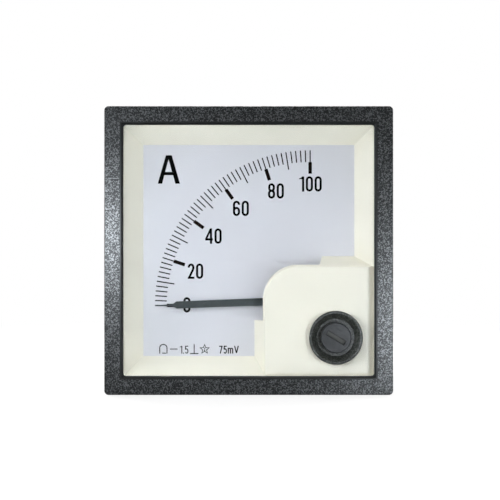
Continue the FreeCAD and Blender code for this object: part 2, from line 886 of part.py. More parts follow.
def hex_nut(name, centre, front, rear, corner_radius, bore_radius):
    """Hexagon nut between two levels."""
    hexagon = doc.addObject("Part::Prism", f"{name}_hexagon")
    hexagon.Polygon = HEX
    hexagon.Placement = into_panel()
    bind(hexagon, Circumradius=corner_radius, Height=rear - front)
    place(hexagon, centre[0], front, centre[1])
    bore = rod(f"{name}_bore", centre, front, rear, bore_radius)
    node(name, cut(name, hexagon, bore))


def jewel_screws():
    """Screws with a cup for the staff's point, and their lock nuts."""
    front_start = lock_nut_front
    front_end = bridge_rear + s.pivot_play
    front_screw = rod("front_jewel_blank", pivot, front_start, front_end, s.jewel_screw_radius)
    cup = cone("front_jewel_cup", pivot, front_end - s.jewel_cup, front_end,
               s.jewel_cup_floor, s.jewel_cup_mouth)
    node("front_jewel_screw", cut("front_jewel_screw", front_screw, cup))
    hex_nut("front_lock_nut", pivot, lock_nut_front, boss_front,
            s.jewel_nut_radius, s.jewel_screw_radius + s.thread_gap)
    rear_start = rear_bridge_front - s.pivot_play
    rear_end = rear_bridge_rear + s.rear_nut_height
    rear_screw = rod("rear_jewel_blank", pivot, rear_start, rear_end, s.jewel_screw_radius)
    cup = cone("rear_jewel_cup", pivot, rear_start, rear_start + s.jewel_cup,
               s.jewel_cup_mouth, s.jewel_cup_floor)
    node("rear_jewel_screw", cut("rear_jewel_screw", rear_screw, cup))
    hex_nut("rear_lock_nut", pivot, rear_bridge_rear, rear_end,
            s.jewel_nut_radius, s.jewel_screw_radius + s.thread_gap)


def coil():
    """Former bent from aluminium sheet, and the copper winding round it."""
    former_half = s.coil_half_width + s.former_sheet
    winding_half = former_half + s.winding_height
    coil_ring("coil_former", s.former_breadth, former_front, former_rear, former_half,
              former_inner_front, former_inner_rear, s.coil_half_width)
    coil_ring("coil_winding", s.winding_breadth, winding_front, winding_rear, winding_half,
              former_front, former_rear, former_half)


def coil_ring(name, breadth, front, rear, half, inner_front, inner_rear, inner_half):
    """Rectangular ring round the core, its sides level with the pointer at zero."""
    low = pivot[1] - breadth / 2
    high = pivot[1] + breadth / 2
    outer = block(f"{name}_outer", pivot[0] - half, pivot[0] + half, front, rear, low, high)
    inner = block(f"{name}_inner", pivot[0] - inner_half, pivot[0] + inner_half,
                  inner_front, inner_rear, low, high)
    node(name, cut(name, outer, inner))


def staffs():
    """Front and rear staff: a foot on the coil, a shaft and a point in the jewel."""
    tip = bridge_rear - s.jewel_cup / 2
    foot = winding_front - s.staff_foot_height
    node("front_staff", fuse(
        "front_staff",
        cone("front_staff_point", pivot, tip, tip + s.staff_point, s.staff_tip, s.staff_radius),
        rod("front_staff_shaft", pivot, tip + s.staff_point, foot, s.staff_radius),
        rod("front_staff_foot", pivot, foot, winding_front, s.staff_foot_radius)))
    tip = rear_bridge_front + s.jewel_cup / 2
    foot = winding_rear + s.staff_foot_height
    node("rear_staff", fuse(
        "rear_staff",
        rod("rear_staff_foot", pivot, winding_rear, foot, s.staff_foot_radius),
        rod("rear_staff_shaft", pivot, foot, tip - s.staff_point, s.staff_radius),
        cone("rear_staff_point", pivot, tip - s.staff_point, tip, s.staff_radius, s.staff_tip)))


def hairspring(name, front, angle):
    """Flat spiral of half circles about two centres; its outer end meets the anchor."""
    start = s.hairspring_start.value
    step = s.hairspring_step.value
    half_sheet = s.hairspring_sheet.value / 2
    edges = []
    ends = []
    for side in (-half_sheet, half_sheet):
        for count in range(HALF_TURNS):
            centre = step * (count % 2)
            reach = start + count * step + side
            sign = 1 - 2 * (count % 2)
            near = FreeCAD.Vector(centre + sign * reach, 0, 0)
            top = FreeCAD.Vector(centre, 0, sign * reach)
            far = FreeCAD.Vector(centre - sign * reach, 0, 0)
            edges.append(Part.Arc(near, top, far).toShape())
        ends.append((FreeCAD.Vector(start + side, 0, 0),
                     FreeCAD.Vector(start + HALF_TURNS * step + side, 0, 0)))
    for inner, outer in zip(*ends):
        edges.append(Part.LineSegment(inner, outer).toShape())
    strip = Part.Face(Part.Wire(Part.__sortEdges__(edges)))
    made = doc.addObject("Part::Feature", name)
    made.Shape = strip.extrude(FreeCAD.Vector(0, s.hairspring_breadth.value, 0))
    made.Placement.Rotation = FreeCAD.Rotation(FreeCAD.Vector(0, 1, 0), -term(angle).value)
    place(made, pivot[0], front, pivot[1])
    node(name, made)


def zero_lever():
    """Forked lever on the front bridge's boss; its short arm holds the front hairspring."""
    body = new_body("zero_lever")
    body.Placement.Rotation = FreeCAD.Rotation(FreeCAD.Vector(0, 1, 0), -arm_heading.value)
    bind(body, **{"Placement.Rotation.Angle": -arm_heading})
    place(body, pivot[0], 0, pivot[1])
    slot_half = s.pin_radius + s.fork_gap
    fork_half = slot_half + s.fork_prong
    fork_start = arm_length - s.pin_throw
    fork_end = arm_length + s.pin_throw + s.pin_radius + s.fork_over
    hub = facing(body, lever_rear)
    draw_circle(hub, (0, 0), s.lever_hub)
    pad(body, hub, s.lever_thickness)
    arm = facing(body, lever_rear)
    draw_polygon(arm, [
        (0, -s.lever_arm), (fork_start, -fork_half), (fork_end, -fork_half),
        (fork_end, fork_half), (fork_start, fork_half), (0, s.lever_arm),
        (-hairspring_end - s.anchor_sheet, s.lever_arm / 2),
        (-hairspring_end - s.anchor_sheet, -s.lever_arm / 2)])
    pad(body, arm, s.lever_thickness)
    openings = facing(body, lever_front)
    draw_circle(openings, (0, 0), s.lever_boss + s.lever_play)
    draw_rectangle(openings, fork_start + s.fork_gap, fork_end + s.fork_gap,
                   -slot_half, slot_half)
    pocket(body, openings, s.lever_thickness)
    tab = facing(body, spring_rear)
    draw_rectangle(tab, -hairspring_end - s.anchor_sheet, -hairspring_end,
                   -s.lever_arm / 2, s.lever_arm / 2)
    pad(body, tab, spring_rear - lever_rear)


def adjuster_bush():
    """Dished bush through the window and the cover."""
    body = new_body("adjuster_bush")
    place(body, adjuster[0], 0, adjuster[1])
    flange_front = window_front - s.bush_flange_height
    floor = flange_front + s.dish_depth
    recess = cover_rear - s.collar_recess
    bore = s.zero_shank + s.shank_gap
    profile = sketch(body, "XY_Plane", 0)
    draw_polygon(profile, [
        (bore, floor), (s.dish_floor, floor), (s.dish_mouth, flange_front),
        (s.bush_flange - s.bush_edge, flange_front),
        (s.bush_flange, flange_front + s.bush_edge),
        (s.bush_flange, window_front), (s.bush_barrel, window_front),
        (s.bush_barrel, cover_rear), (s.collar_recess_radius, cover_rear),
        (s.collar_recess_radius, recess), (bore, recess)])
    revolve(body, profile)


def zero_screw():
    """Slotted head in the dish, a collar behind the bush and an eccentric pin."""
    body = new_body("zero_screw")
    place(body, adjuster[0], 0, adjuster[1])
    floor = window_front - s.bush_flange_height + s.dish_depth - s.lever_play
    head_front = floor - s.zero_head_height
    recess = cover_rear - s.collar_recess + s.lever_play
    collar_rear = cover_rear - s.lever_play
    edge = s.bush_edge
    turned = sketch(body, "XY_Plane", 0)
    draw_polygon(turned, [
        (0, head_front), (s.zero_head - edge, head_front), (s.zero_head, head_front + edge),
        (s.zero_head, floor), (s.zero_shank, floor), (s.zero_shank, recess),
        (s.zero_collar, recess), (s.zero_shank, collar_rear), (0, collar_rear)])
    revolve(body, turned)
    pin = facing(body, lever_rear + s.lever_play)
    draw_circle(pin, (s.pin_throw * cosine(arm_heading), s.pin_throw * sine(arm_heading)),
                s.pin_radius)
    pad(body, pin, lever_rear + s.lever_play - collar_rear)
    slot = facing(body, head_front)
    half_length = s.slot_length / 2
    half_width = s.slot_width / 2
    along = (cosine(-s.slot_angle), sine(-s.slot_angle))
    beside = (sine(s.slot_angle), cosine(s.slot_angle))
    draw_polygon(slot, [
        (along[0] * half_length * i + beside[0] * half_width * j,
         along[1] * half_length * i + beside[1] * half_width * j)
        for i, j in ((-1, -1), (1, -1), (1, 1), (-1, 1))])
    pocket(body, slot, s.slot_depth)


def pointer():
    """Folded blade with a flat needle; the body's origin is the needle's tip."""
    body = new_body("pointer")
    body.Placement.Rotation = FreeCAD.Rotation(FreeCAD.Vector(0, 1, 0), -s.pointer_tilt.value)
    bind(body, **{"Placement.Rotation.Angle": -s.pointer_tilt})
    place(body, pivot[0] - pointer_reach, 0, pivot[1])
    hub = (pointer_reach * cosine(s.pointer_tilt), -pointer_reach * sine(s.pointer_tilt))
    root = s.needle_length
    shoulder = root + s.shoulder_length
    end = hub[0]
    tip = s.needle_tip / 2
    neck = s.needle_root / 2
    start = s.blade_start / 2
    wide = s.blade_end / 2
    web_rear = pointer_front + s.pointer_sheet
    web = facing(body, web_rear)
    draw_polygon(web, [
        (0, -tip), (root, -neck), (shoulder, -start), (end, -wide),
        (end, wide), (shoulder, start), (root, neck), (0, tip)])
    pad(body, web, s.pointer_sheet)
    folds = facing(body, pointer_rear)
    blade_stop = end - s.pointer_hub
    inner = s.pointer_sheet
    for side in (-1, 1):
        draw_polygon(folds, [
            (shoulder, side * start), (blade_stop, side * wide),
            (blade_stop, side * (wide - inner)), (shoulder, side * (start - inner))])
    pad(body, folds, s.pointer_fold - s.pointer_sheet)
    disc = facing(body, web_rear)
    draw_circle(disc, hub, s.pointer_hub)
    pad(body, disc, s.pointer_sheet)
    bore = facing(body, pointer_front)
    draw_circle(bore, hub, s.staff_radius)
    pocket(body, bore, s.pointer_sheet)


def balance():
    """Hub behind the pointer with a tail arm and two side arms, each with a weight."""
    front = pointer_front + s.pointer_sheet
    rear = front + s.balance_arm_radius * 2
    level = front + s.balance_arm_radius
    hub = rod("balance_hub", pivot, front, rear, s.balance_hub)
    bore = rod("balance_bore", pivot, front, rear, s.staff_radius)
    arms = []
    weights = (
        ("tail", 0, s.tail_arm, s.tail_weight_radius, s.tail_weight_length),
        ("upper", UP, s.side_arm, s.side_weight_radius, s.upper_weight_length),
        ("lower", -UP, s.side_arm, s.side_weight_radius, s.lower_weight_length),
    )
    for side, angle, length, radius, breadth in weights:
        arms.append(sideways(f"balance_arm_{side}", level, angle, s.staff_radius * 2, length,
                             s.balance_arm_radius))
        name = f"balance_weight_{side}"
        start = length - breadth
        outer = sideways(f"{name}_outer", level, angle, start, length, radius)
        inner = sideways(f"{name}_bore", level, angle, start, length, s.balance_arm_radius)
        node(name, cut(name, outer, inner))
    node("balance_cross", cut("balance_cross", fuse("balance_blank", hub, *arms), bore))


def sideways(name, level, angle, start, end, radius):
    """A cylinder that points away from the pivot at this angle, parallel to the dial."""
    made = doc.addObject("Part::Cylinder", name)
    to_right = FreeCAD.Rotation(FreeCAD.Vector(0, 1, 0), 90)
    made.Placement.Rotation = FreeCAD.Rotation(FreeCAD.Vector(0, 1, 0), -angle) * to_right
    bind(made, Radius=radius, Height=end - start)
    across, up = polar(pivot, start, angle)
    place(made, across, level, up)
    return made


def pointer_stops():
    """Pins beside the pointer, just past the ends of its travel."""
    for side, centre in stop_places.items():
        name = f"pointer_stop_{side}"
        node(name, rod(name, centre, pointer_front, chassis_rear, s.stop_radius))


def terminal_hardware():
    """Stud, nuts and washers of each terminal."""
    nut_radius = s.nut_across_flats / 2 / cosine(LEFT / HEX)
    bore = s.stud_radius + s.thread_gap
    for side, centre in terminals.items():
        level = boss_rear
        hex_nut(f"clamp_nut_{side}", centre, level, level + s.nut_height, nut_radius, bore)
        level = level + s.nut_height
        name = f"washer_{side}"
        outer = rod(f"{name}_outer", centre, level, level + s.washer_thickness, s.washer_radius)
        inner = rod(f"{name}_bore", centre, level, level + s.washer_thickness,
                    s.stud_radius + s.stud_hole_gap)
        node(name, cut(name, outer, inner))
        level = level + s.washer_thickness
        name = f"spring_washer_{side}"
        top = level + s.spring_washer_thickness
        outer = rod(f"{name}_outer", centre, level, top, s.spring_washer_radius)
        inner = rod(f"{name}_bore", centre, level, top, s.stud_radius + s.stud_hole_gap)
        gap = block(f"{name}_gap", centre[0] - s.spring_washer_gap / 2,
                    centre[0] + s.spring_washer_gap / 2, level, top,
                    centre[1], centre[1] + s.spring_washer_radius)
        node(name, cut(name, outer, fuse(f"{name}_waste", inner, gap)))
        nut_rear = top + s.nut_height
        hex_nut(f"outer_nut_{side}", centre, top, nut_rear, nut_radius, bore)
        name = f"stud_{side}"
        end = nut_rear + s.stud_free
        bevel = end - s.stud_tip_bevel
        node(name, fuse(
            name,
            rod(f"{name}_flange", centre, stud_flange_front, stud_flange_rear, s.stud_flange),
            rod(f"{name}_shank", centre, stud_flange_rear, nut_rear, s.stud_radius),
            rod(f"{name}_tip", centre, nut_rear, bevel, s.stud_tip_radius),
            cone(f"{name}_bevel", centre, bevel, end, s.stud_tip_radius,
                 s.stud_tip_radius - s.stud_tip_bevel)))


def series_resistor():
    """Card between the studs with resistance wire wound round its middle."""
    rear = stud_flange_rear + s.card_thickness
    half = s.terminal_pitch / 2 + s.card_margin
    low = s.terminal_height - s.card_height / 2
    high = s.terminal_height + s.card_height / 2
    card = block("card_blank", -half, half, stud_flange_rear, rear, low, high)
    holes = [rod(f"card_hole_{side}", centre, stud_flange_rear, rear,
                 s.stud_radius + s.stud_hole_gap)
             for side, centre in terminals.items()]
    node("resistor_card", cut("resistor_card", card, fuse("card_waste", *holes)))
    reach = s.resistor_length / 2
    thick = s.resistor_winding
    outer = block("winding_outer", -reach, reach, stud_flange_rear - thick, rear + thick,
                  low - thick, high + thick)
    inner = block("winding_inner", -reach, reach, stud_flange_rear, rear, low, high)
    node("resistor_winding", cut("resistor_winding", outer, inner))


def lead(name, points):
    """Wire of straight runs joined by tangent arcs through points (across, depth, up)."""
    path = [FreeCAD.Vector(*(term(value).value for value in point)) for point in points]
    bend = s.lead_bend.value
    edges = []
    start = path[0]
    for before, corner, after in zip(path, path[1:], path[2:]):
        incoming = (corner - before).normalize()
        outgoing = (after - corner).normalize()
        half_turn = incoming.getAngle(outgoing) / 2
        setback = bend * math.tan(half_turn)
        enter = corner - incoming * setback
        leave = corner + outgoing * setback
        inside = (outgoing - incoming).normalize()
        middle = corner + inside * (bend / math.cos(half_turn) - bend)
        edges.append(Part.LineSegment(start, enter).toShape())
        edges.append(Part.Arc(enter, middle, leave).toShape())
        start = leave
    edges.append(Part.LineSegment(start, path[-1]).toShape())
    first = (path[1] - path[0]).normalize()
    section = Part.Wire(Part.Circle(path[0], first, s.lead_radius.value).toShape())
    made = doc.addObject("Part::Feature", name)
    made.Shape = Part.Wire(edges).makePipeShell([section], True, False)
    node(name, made)


def leads():
    """Wires from the plus stud to the rear bridge and from the resistor to the chassis plate."""
    across, up = terminals["plus"]
    contact = polar(pivot, s.bridge_contact, UP_RIGHT)
    lead("lead_to_rear_bridge", [
        (across, stud_flange_front, up),
        (across, stud_flange_front - s.lead_run, up),
        (contact[0], rear_bridge_rear + s.lead_run, contact[1]),
        (contact[0], rear_bridge_rear, contact[1])])
    winding_face = stud_flange_rear - s.resistor_winding
    contact = (chassis_near + s.chassis_contact_side, -chassis_near - s.chassis_contact_down)
    lead("lead_to_chassis", [
        (-s.lead_side, winding_face, s.terminal_height),
        (-s.lead_side, winding_face - s.lead_run, s.terminal_height),
        (contact[0], chassis_rear + s.lead_run, contact[1]),
        (contact[0], chassis_rear, contact[1])])


def check_and_export():
    """Stops at any failed object, then writes one file for each node."""
    doc.recompute()
    for thing in doc.Objects:
        if "Invalid" in thing.State or "Error" in thing.State:
            raise RuntimeError(f"{thing.Name} failed: {thing.State}")
    os.makedirs("parts", exist_ok=True)
    for name, thing in nodes.items():
        shape = thing.Shape
        if shape.isNull() or not shape.isValid() or not shape.Solids:
            raise RuntimeError(f"{name} has no valid solid")
        shape.exportStep(f"parts/{name}.step")
    print(len(nodes), "nodes written")


bezel()
case()
window()
mask()
dial_plate()
chassis_plate()
small_screws()
yoke_ring()
core()
bridges()
bridge_fasteners()
jewel_screws()
coil()
staffs()
hairspring("front_hairspring", spring_front, arm_heading + LEFT)
hairspring("rear_hairspring", rear_bridge_front - s.hairspring_room - s.hairspring_breadth,
           UP_RIGHT)
zero_lever()
adjuster_bush()
zero_screw()
pointer()
balance()
pointer_stops()
terminal_hardware()
series_resistor()
leads()
check_and_export()
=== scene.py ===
"""Looks of a 72 mm analog panel meter: finishes, printed scale, stud threads, terminal signs, studio.

Sizes and places are in millimetres, and MM turns them into metres where they reach Blender. The frame is
the CAD's: X right, Y away from the viewer, Z up.
"""

import json
import math

import bmesh
import bpy
from mathutils import Matrix, Vector


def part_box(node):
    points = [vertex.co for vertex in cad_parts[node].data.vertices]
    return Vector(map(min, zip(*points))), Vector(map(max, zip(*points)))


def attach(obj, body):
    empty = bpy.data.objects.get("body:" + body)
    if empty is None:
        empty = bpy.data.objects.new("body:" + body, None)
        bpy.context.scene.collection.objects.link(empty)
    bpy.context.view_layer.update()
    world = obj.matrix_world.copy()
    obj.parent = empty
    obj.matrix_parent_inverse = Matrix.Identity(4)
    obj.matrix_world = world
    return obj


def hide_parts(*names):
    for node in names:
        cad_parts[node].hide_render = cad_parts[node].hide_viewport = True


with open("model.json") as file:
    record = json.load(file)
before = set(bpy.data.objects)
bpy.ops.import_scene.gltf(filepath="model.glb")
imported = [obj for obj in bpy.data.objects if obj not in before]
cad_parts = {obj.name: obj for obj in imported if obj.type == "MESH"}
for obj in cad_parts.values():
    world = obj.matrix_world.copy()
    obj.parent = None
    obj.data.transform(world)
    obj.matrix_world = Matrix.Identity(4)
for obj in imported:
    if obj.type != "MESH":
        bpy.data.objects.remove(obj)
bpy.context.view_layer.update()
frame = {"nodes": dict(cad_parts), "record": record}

MM = 0.001
PRINT_WELD = 0.0001
SOLID_WELD = 0.001
SHADER = "Principled BSDF"
CAMERA_RAY = "Is Camera Ray"
GLOSSY_RAY = "Is Glossy Ray"
THROUGH_RAY = "Is Transmission Ray"
LAMP_RAY = "Is Shadow Ray"

# The printed scale.
PIVOT = (15.77, -14.13)
SCALE_RADIUS = 39.87
ZERO_ANGLE = 180.0
FULL_ANGLE = 90.0
FINE_MARKS = 51
FINE_LENGTH = 3.04
FINE_WIDTH = 0.3
MIDDLE_LENGTH = 1.54
BOLD_LENGTH = 2.99
BOLD_WIDTH = 0.9
MARK_CORNER = 0.05
INK = 0.02
INK_SUNK = 0.004

# The mask: where its inner walls end in the CAD, then each end's axis, side and new place, at the back and
# at the front. NEAR tells which corners are meant. The rest is the slanted edges beside the frame.
COVER_THICK = 1.2
WALL_END_BACK = 19.0
WALL_END_FRONT = 17.5
WALL_ENDS = ((0, 1.0, 18.85, 17.85), (2, -1.0, 17.9, 17.8))
NEAR = 0.02
OPENING_HALF = 31.3
SLANT_START = 29.45
SLANT_DEPTH = 0.75
SLANT_STEPS = 6
LOW_SLANT_START = 30.95
LOW_SLANT_DEPTH = 0.35
COVER_TOP = -4.1
COVER_LEFT = 4.0
CUT_AHEAD = 0.5

# The window and the corners of the frame's opening.
PANE_AIR = 0.06
PANE_NEAR = 0.01
FILLET_RADIUS = 0.75
FILLET_HALF = 31.35
FILLET_FRONT = -4.55
FILLET_BACK = -4.02
FILLET_SUNK = 0.2

# The zero screw's slot, seen along Y, and how far the painted shade reaches out from its edges. Its floor's
# lighter tone sets in between two depths behind the head's face.
SLOT_TURN = math.radians(31.0)
SLOT_HALF_WIDTH = 0.5
SLOT_HALF_LENGTH = 2.55
SLOT_FLOOR = (0.7, 0.78)
SLOT_SHADE_REACH = 0.3

# The rear of the case.
CASE_BACK = 44.5
SIGN_REACH = 2.4
SIGN_HALF_WIDTH = 0.5
SIGN_HEIGHT = 0.5
SIGN_SUNK = 0.1
SIGN_EDGE = 0.12
SIGN_ABOVE = 9.8
THREAD_RADIUS = 1.8
THREAD_RIDGE = 0.19
THREAD_PITCH = 0.7
THREAD_TURNS = 5.2
THREAD_START = 0.15


# Shader building blocks


def put(tree, kind, inputs=None, **settings):
    """Adds a node; an input takes a number, a colour or the output of another node."""
    added = tree.nodes.new(kind)
    for name, value in settings.items():
        setattr(added, name, value)
    for key, value in (inputs or {}).items():
        if isinstance(value, bpy.types.NodeSocket):
            tree.links.new(value, added.inputs[key])
        else:
            added.inputs[key].default_value = value
    return added


def worked(tree, operation, *values):
    """Result of a Math node."""
    return put(tree, "ShaderNodeMath", dict(enumerate(values)), operation=operation).outputs[0]


def eased(tree, value, low, high):
    """Value brought smoothly to 0 at low and 1 at high."""
    inputs = {"Value": value, "From Min": low, "From Max": high}
    return put(tree, "ShaderNodeMapRange", inputs, interpolation_type="SMOOTHSTEP").outputs[0]


def between(tree, share, low, high):
    """Number that goes from low to high with share."""
    return worked(tree, "MULTIPLY_ADD", share, high - low, low)


def colour(red, green, blue):
    """Colour with full alpha."""
    return (red, green, blue, 1.0)


def tinted(tree, share, first, second):
    """Colour that goes from the first to the second with share; each is a node's output or three numbers."""
    ends = [tone if isinstance(tone, bpy.types.NodeSocket) else colour(*tone) for tone in (first, second)]
    return put(tree, "ShaderNodeMix", {0: share, 6: ends[0], 7: ends[1]}, data_type="RGBA").outputs[2]


def noise(tree, place, scale, detail=2.0, **more):
    """Noise at a place."""
    inputs = {"Vector": place, "Scale": scale, "Detail": detail, **more}
    return put(tree, "ShaderNodeTexNoise", inputs).outputs[0]


def split(tree, place):
    """The three coordinates of a place, by name."""
    return put(tree, "ShaderNodeSeparateXYZ", {0: place}).outputs


def joined(tree, parts):
    """Place from coordinates, by number; one that isn't given is 0."""
    return put(tree, "ShaderNodeCombineXYZ", parts).outputs[0]


def new_tree(name, kind, inputs, outputs):
    """Starts a node group and returns its tree, what its inputs give, and its output sockets."""
    tree = bpy.data.node_groups.new(name, kind)
    for way, sockets in (("INPUT", inputs), ("OUTPUT", outputs)):
        for label, socket_kind in sockets.items():
            tree.interface.new_socket(label, in_out=way, socket_type="NodeSocket" + socket_kind)
    return tree, tree.nodes.new("NodeGroupInput").outputs, tree.nodes.new("NodeGroupOutput").inputs


def shader_group(name, inputs, outputs):
    """Starts a group of shader nodes."""
    return new_tree(name, "ShaderNodeTree", inputs, outputs)


def spark_grain_group():
    """Grain of a spark-eroded mould: short raised worms on fine grit, from 0 to about 1."""
    inputs = {"Vector": "Vector", "Grain": "Float"}
    group, given, taken = shader_group("spark grain", inputs, {"Height": "Float", "Crest": "Float"})
    scale = worked(group, "DIVIDE", 1.0, given["Grain"])
    worms = eased(group, noise(group, given["Vector"], scale, 1.0, Distortion=0.8), 0.49, 0.60)
    grit = noise(group, given["Vector"], worked(group, "MULTIPLY", scale, 2.6))
    rise = worked(group, "MULTIPLY_ADD", worms, 0.8, worked(group, "MULTIPLY", grit, 0.3))
    group.links.new(rise, taken["Height"])
    group.links.new(worms, taken["Crest"])
    return group


def edge_wear_group():
    """Mask of rubbed edges: where a rounded normal leaves the face's own, broken up by noise."""
    group, given, taken = shader_group("edge wear", {"Width": "Float", "Patch": "Float"}, {"Mask": "Float"})
    place = put(group, "ShaderNodeTexCoord").outputs["Object"]
    rounded = put(group, "ShaderNodeBevel", {"Radius": given["Width"]}, samples=4).outputs[0]
    plain = put(group, "ShaderNodeNewGeometry").outputs["Normal"]
    turned = put(group, "ShaderNodeVectorMath", {0: rounded, 1: plain}, operation="DOT_PRODUCT")
    bend = worked(group, "SUBTRACT", 1.0, turned.outputs["Value"])
    patches = noise(group, place, worked(group, "DIVIDE", 1.0, given["Patch"]), 3.0)
    rubbed = worked(group, "MULTIPLY", eased(group, bend, 0.02, 0.25), eased(group, patches, 0.4, 0.65))
    group.links.new(rubbed, taken["Mask"])
    return group


def clouds_group():
    """Soft uneven tone between two colours."""
    inputs = {"Vector": "Vector", "Size": "Float", "First": "Color", "Second": "Color"}
    group, given, taken = shader_group("clouds", inputs, {"Color": "Color", "Tone": "Float"})
    scale = worked(group, "DIVIDE", 1.0, given["Size"])
    tone = eased(group, noise(group, given["Vector"], scale, 5.0, Roughness=0.6), 0.3, 0.7)
    group.links.new(tinted(group, tone, given["First"], given["Second"]), taken["Color"])
    group.links.new(tone, taken["Tone"])
    return group


def turning_marks_group():
    """Rings that a lathe leaves round the Y axis, on ends and on sides."""
    inputs = {"Vector": "Vector", "Pitch": "Float"}
    group, given, taken = shader_group("turning marks", inputs, {"Height": "Float"})
    parts = split(group, given["Vector"])
    across = worked(group, "MULTIPLY", parts["X"], parts["X"])
    radius = worked(group, "SQRT", worked(group, "MULTIPLY_ADD", parts["Z"], parts["Z"], across))
    place = joined(group, {0: radius, 1: parts["Y"]})
    rings = noise(group, place, worked(group, "DIVIDE", 1.0, given["Pitch"]))
    group.links.new(rings, taken["Height"])
    return group


def brush_marks_group():
    """Fine straight marks along X, as rolled and brushed sheet shows."""
    inputs = {"Vector": "Vector", "Length": "Float", "Width": "Float"}
    group, given, taken = shader_group("brush marks", inputs, {"Height": "Float"})
    drawn = {}
    for number, (axis, size) in enumerate((("X", "Length"), ("Y", "Width"), ("Z", "Width"))):
        drawn[number] = worked(group, "DIVIDE", split(group, given["Vector"])[axis], given[size])
    group.links.new(noise(group, joined(group, drawn), 1.0, 3.0), taken["Height"])
    return group


def hairlines_group():
    """Mask of sparse hairline scratches that run in two directions."""
    inputs = {"Vector": "Vector", "Amount": "Float"}
    group, given, taken = shader_group("hairlines", inputs, {"Mask": "Float"})
    masks = []
    for turn in (0.5, 2.2):
        lay = {"Vector": given["Vector"], "Rotation": (0.3, turn, 0.2), "Scale": (110.0, 5200.0, 5200.0)}
        drawn = put(group, "ShaderNodeMapping", lay).outputs[0]
        masks.append(eased(group, noise(group, drawn, 1.0, 1.0), 0.68, 0.76))
    both = worked(group, "MAXIMUM", *masks)
    group.links.new(worked(group, "MULTIPLY", both, given["Amount"]), taken["Mask"])
    return group


def wire_turns_group():
    """Round backs of wires lying side by side, counted along one coordinate, and a mask of painted shade in
    the gaps between them.
    """
    inputs = {"Along": "Float", "Wire": "Float"}
    group, given, taken = shader_group("wire turns", inputs, {"Height": "Float", "Gap Shade": "Float"})
    phase = worked(group, "FRACT", worked(group, "DIVIDE", given["Along"], given["Wire"]))
    off = worked(group, "MULTIPLY_ADD", phase, 2.0, -1.0)
    back = worked(group, "SQRT", worked(group, "SUBTRACT", 1.0, worked(group, "MULTIPLY", off, off)))
    group.links.new(back, taken["Height"])
    group.links.new(eased(group, worked(group, "ABSOLUTE", off), 0.7, 1.0), taken["Gap Shade"])
    return group


SPARK = spark_grain_group()
WEAR = edge_wear_group()
CLOUDS = clouds_group()
TURNED = turning_marks_group()
BRUSHED = brush_marks_group()
HAIRLINES = hairlines_group()
TURNS = wire_turns_group()


def use(tree, group, inputs):
    """Places a shader group and returns its outputs."""
    return put(tree, "ShaderNodeGroup", inputs, node_tree=group).outputs


def cloudy(tree, place, size, first, second):
    """Uneven tone between two colours, with clouds of a size in millimetres."""
    inputs = {"Vector": place, "Size": size * MM, "First": colour(*first), "Second": colour(*second)}
    return use(tree, CLOUDS, inputs)


def worn_edges(tree, width, patch):
    """Mask of rubbed edges, with its width and the size of its patches in millimetres."""
    return use(tree, WEAR, {"Width": width * MM, "Patch": patch * MM})["Mask"]


def sparked(tree, place, grain):
    """Spark-eroded texture with a grain in millimetres."""
    return use(tree, SPARK, {"Vector": place, "Grain": grain * MM})


def scratches(tree, place, amount):
    """Mask of hairline scratches."""
    return use(tree, HAIRLINES, {"Vector": place, "Amount": amount})["Mask"]


def middle_of(node_name):
    """Middle of a CAD node's box."""
    low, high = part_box(node_name)
    return (low + high) / 2


def surface(name, node_name=None, **constants):
    """A material, its tree and Object coordinates, which are centred on a CAD node where one is named."""
    made = bpy.data.materials.new(name)
    made.use_nodes = True
    tree = made.node_tree
    for label, value in constants.items():
        tree.nodes[SHADER].inputs[label.replace("_", " ")].default_value = value
    middle = middle_of(node_name) if node_name else Vector()
    coordinates = put(tree, "ShaderNodeTexCoord").outputs["Object"]
    place = put(tree, "ShaderNodeMapping", {"Vector": coordinates, "Location": list(-middle)}).outputs[0]
    return made, tree, place


def finished(made, base, rough, height, depth):
    """Links colour, roughness and bump, whose depth is in millimetres, and gives the material back."""
    tree = made.node_tree
    normal = put(tree, "ShaderNodeBump", {"Height": height, "Distance": depth * MM}).outputs[0]
    for label, value in (("Base Color", base), ("Roughness", rough), ("Normal", normal)):
        tree.links.new(value, tree.nodes[SHADER].inputs[label])
    return made


# Finishes


def moulded_black(name, grain, depth, tones, gloss, plain_inside=None):
    """Black spark-textured moulding: dark ground, glossier crests whose lighter colour is a painted glint,
    smooth inside plain_inside.
    """
    made, tree, place = surface(name, Specular_IOR_Level=0.4, Coat_Roughness=0.37, Coat_IOR=1.9)
    spark = sparked(tree, place, grain)
    height, crest = spark["Height"], spark["Crest"]
    if plain_inside:
        parts = split(tree, place)
        reach = worked(tree, "MAXIMUM", *[worked(tree, "ABSOLUTE", parts[axis]) for axis in "XZ"])
        textured = eased(tree, reach, plain_inside * MM, (plain_inside + 0.05) * MM)
        height, crest = (worked(tree, "MULTIPLY", value, textured) for value in (height, crest))
    ground, ground_pale, crest_glint_tone = tones
    clouds = cloudy(tree, place, 3.0, ground, ground_pale)
    # The crests' lighter colour is a painted glint that stands in for the sparkle of light on the worms.
    lit = tinted(tree, crest, clouds["Color"], crest_glint_tone)
    wear = worked(tree, "MULTIPLY", worn_edges(tree, 0.25, 1.5), 0.5)
    worn = tinted(tree, wear, lit, (0.05, 0.052, 0.053))
    tree.links.new(between(tree, crest, 0.05, gloss), tree.nodes[SHADER].inputs["Coat Weight"])
    return finished(made, worn, between(tree, height, 0.40, 0.38), height, depth)


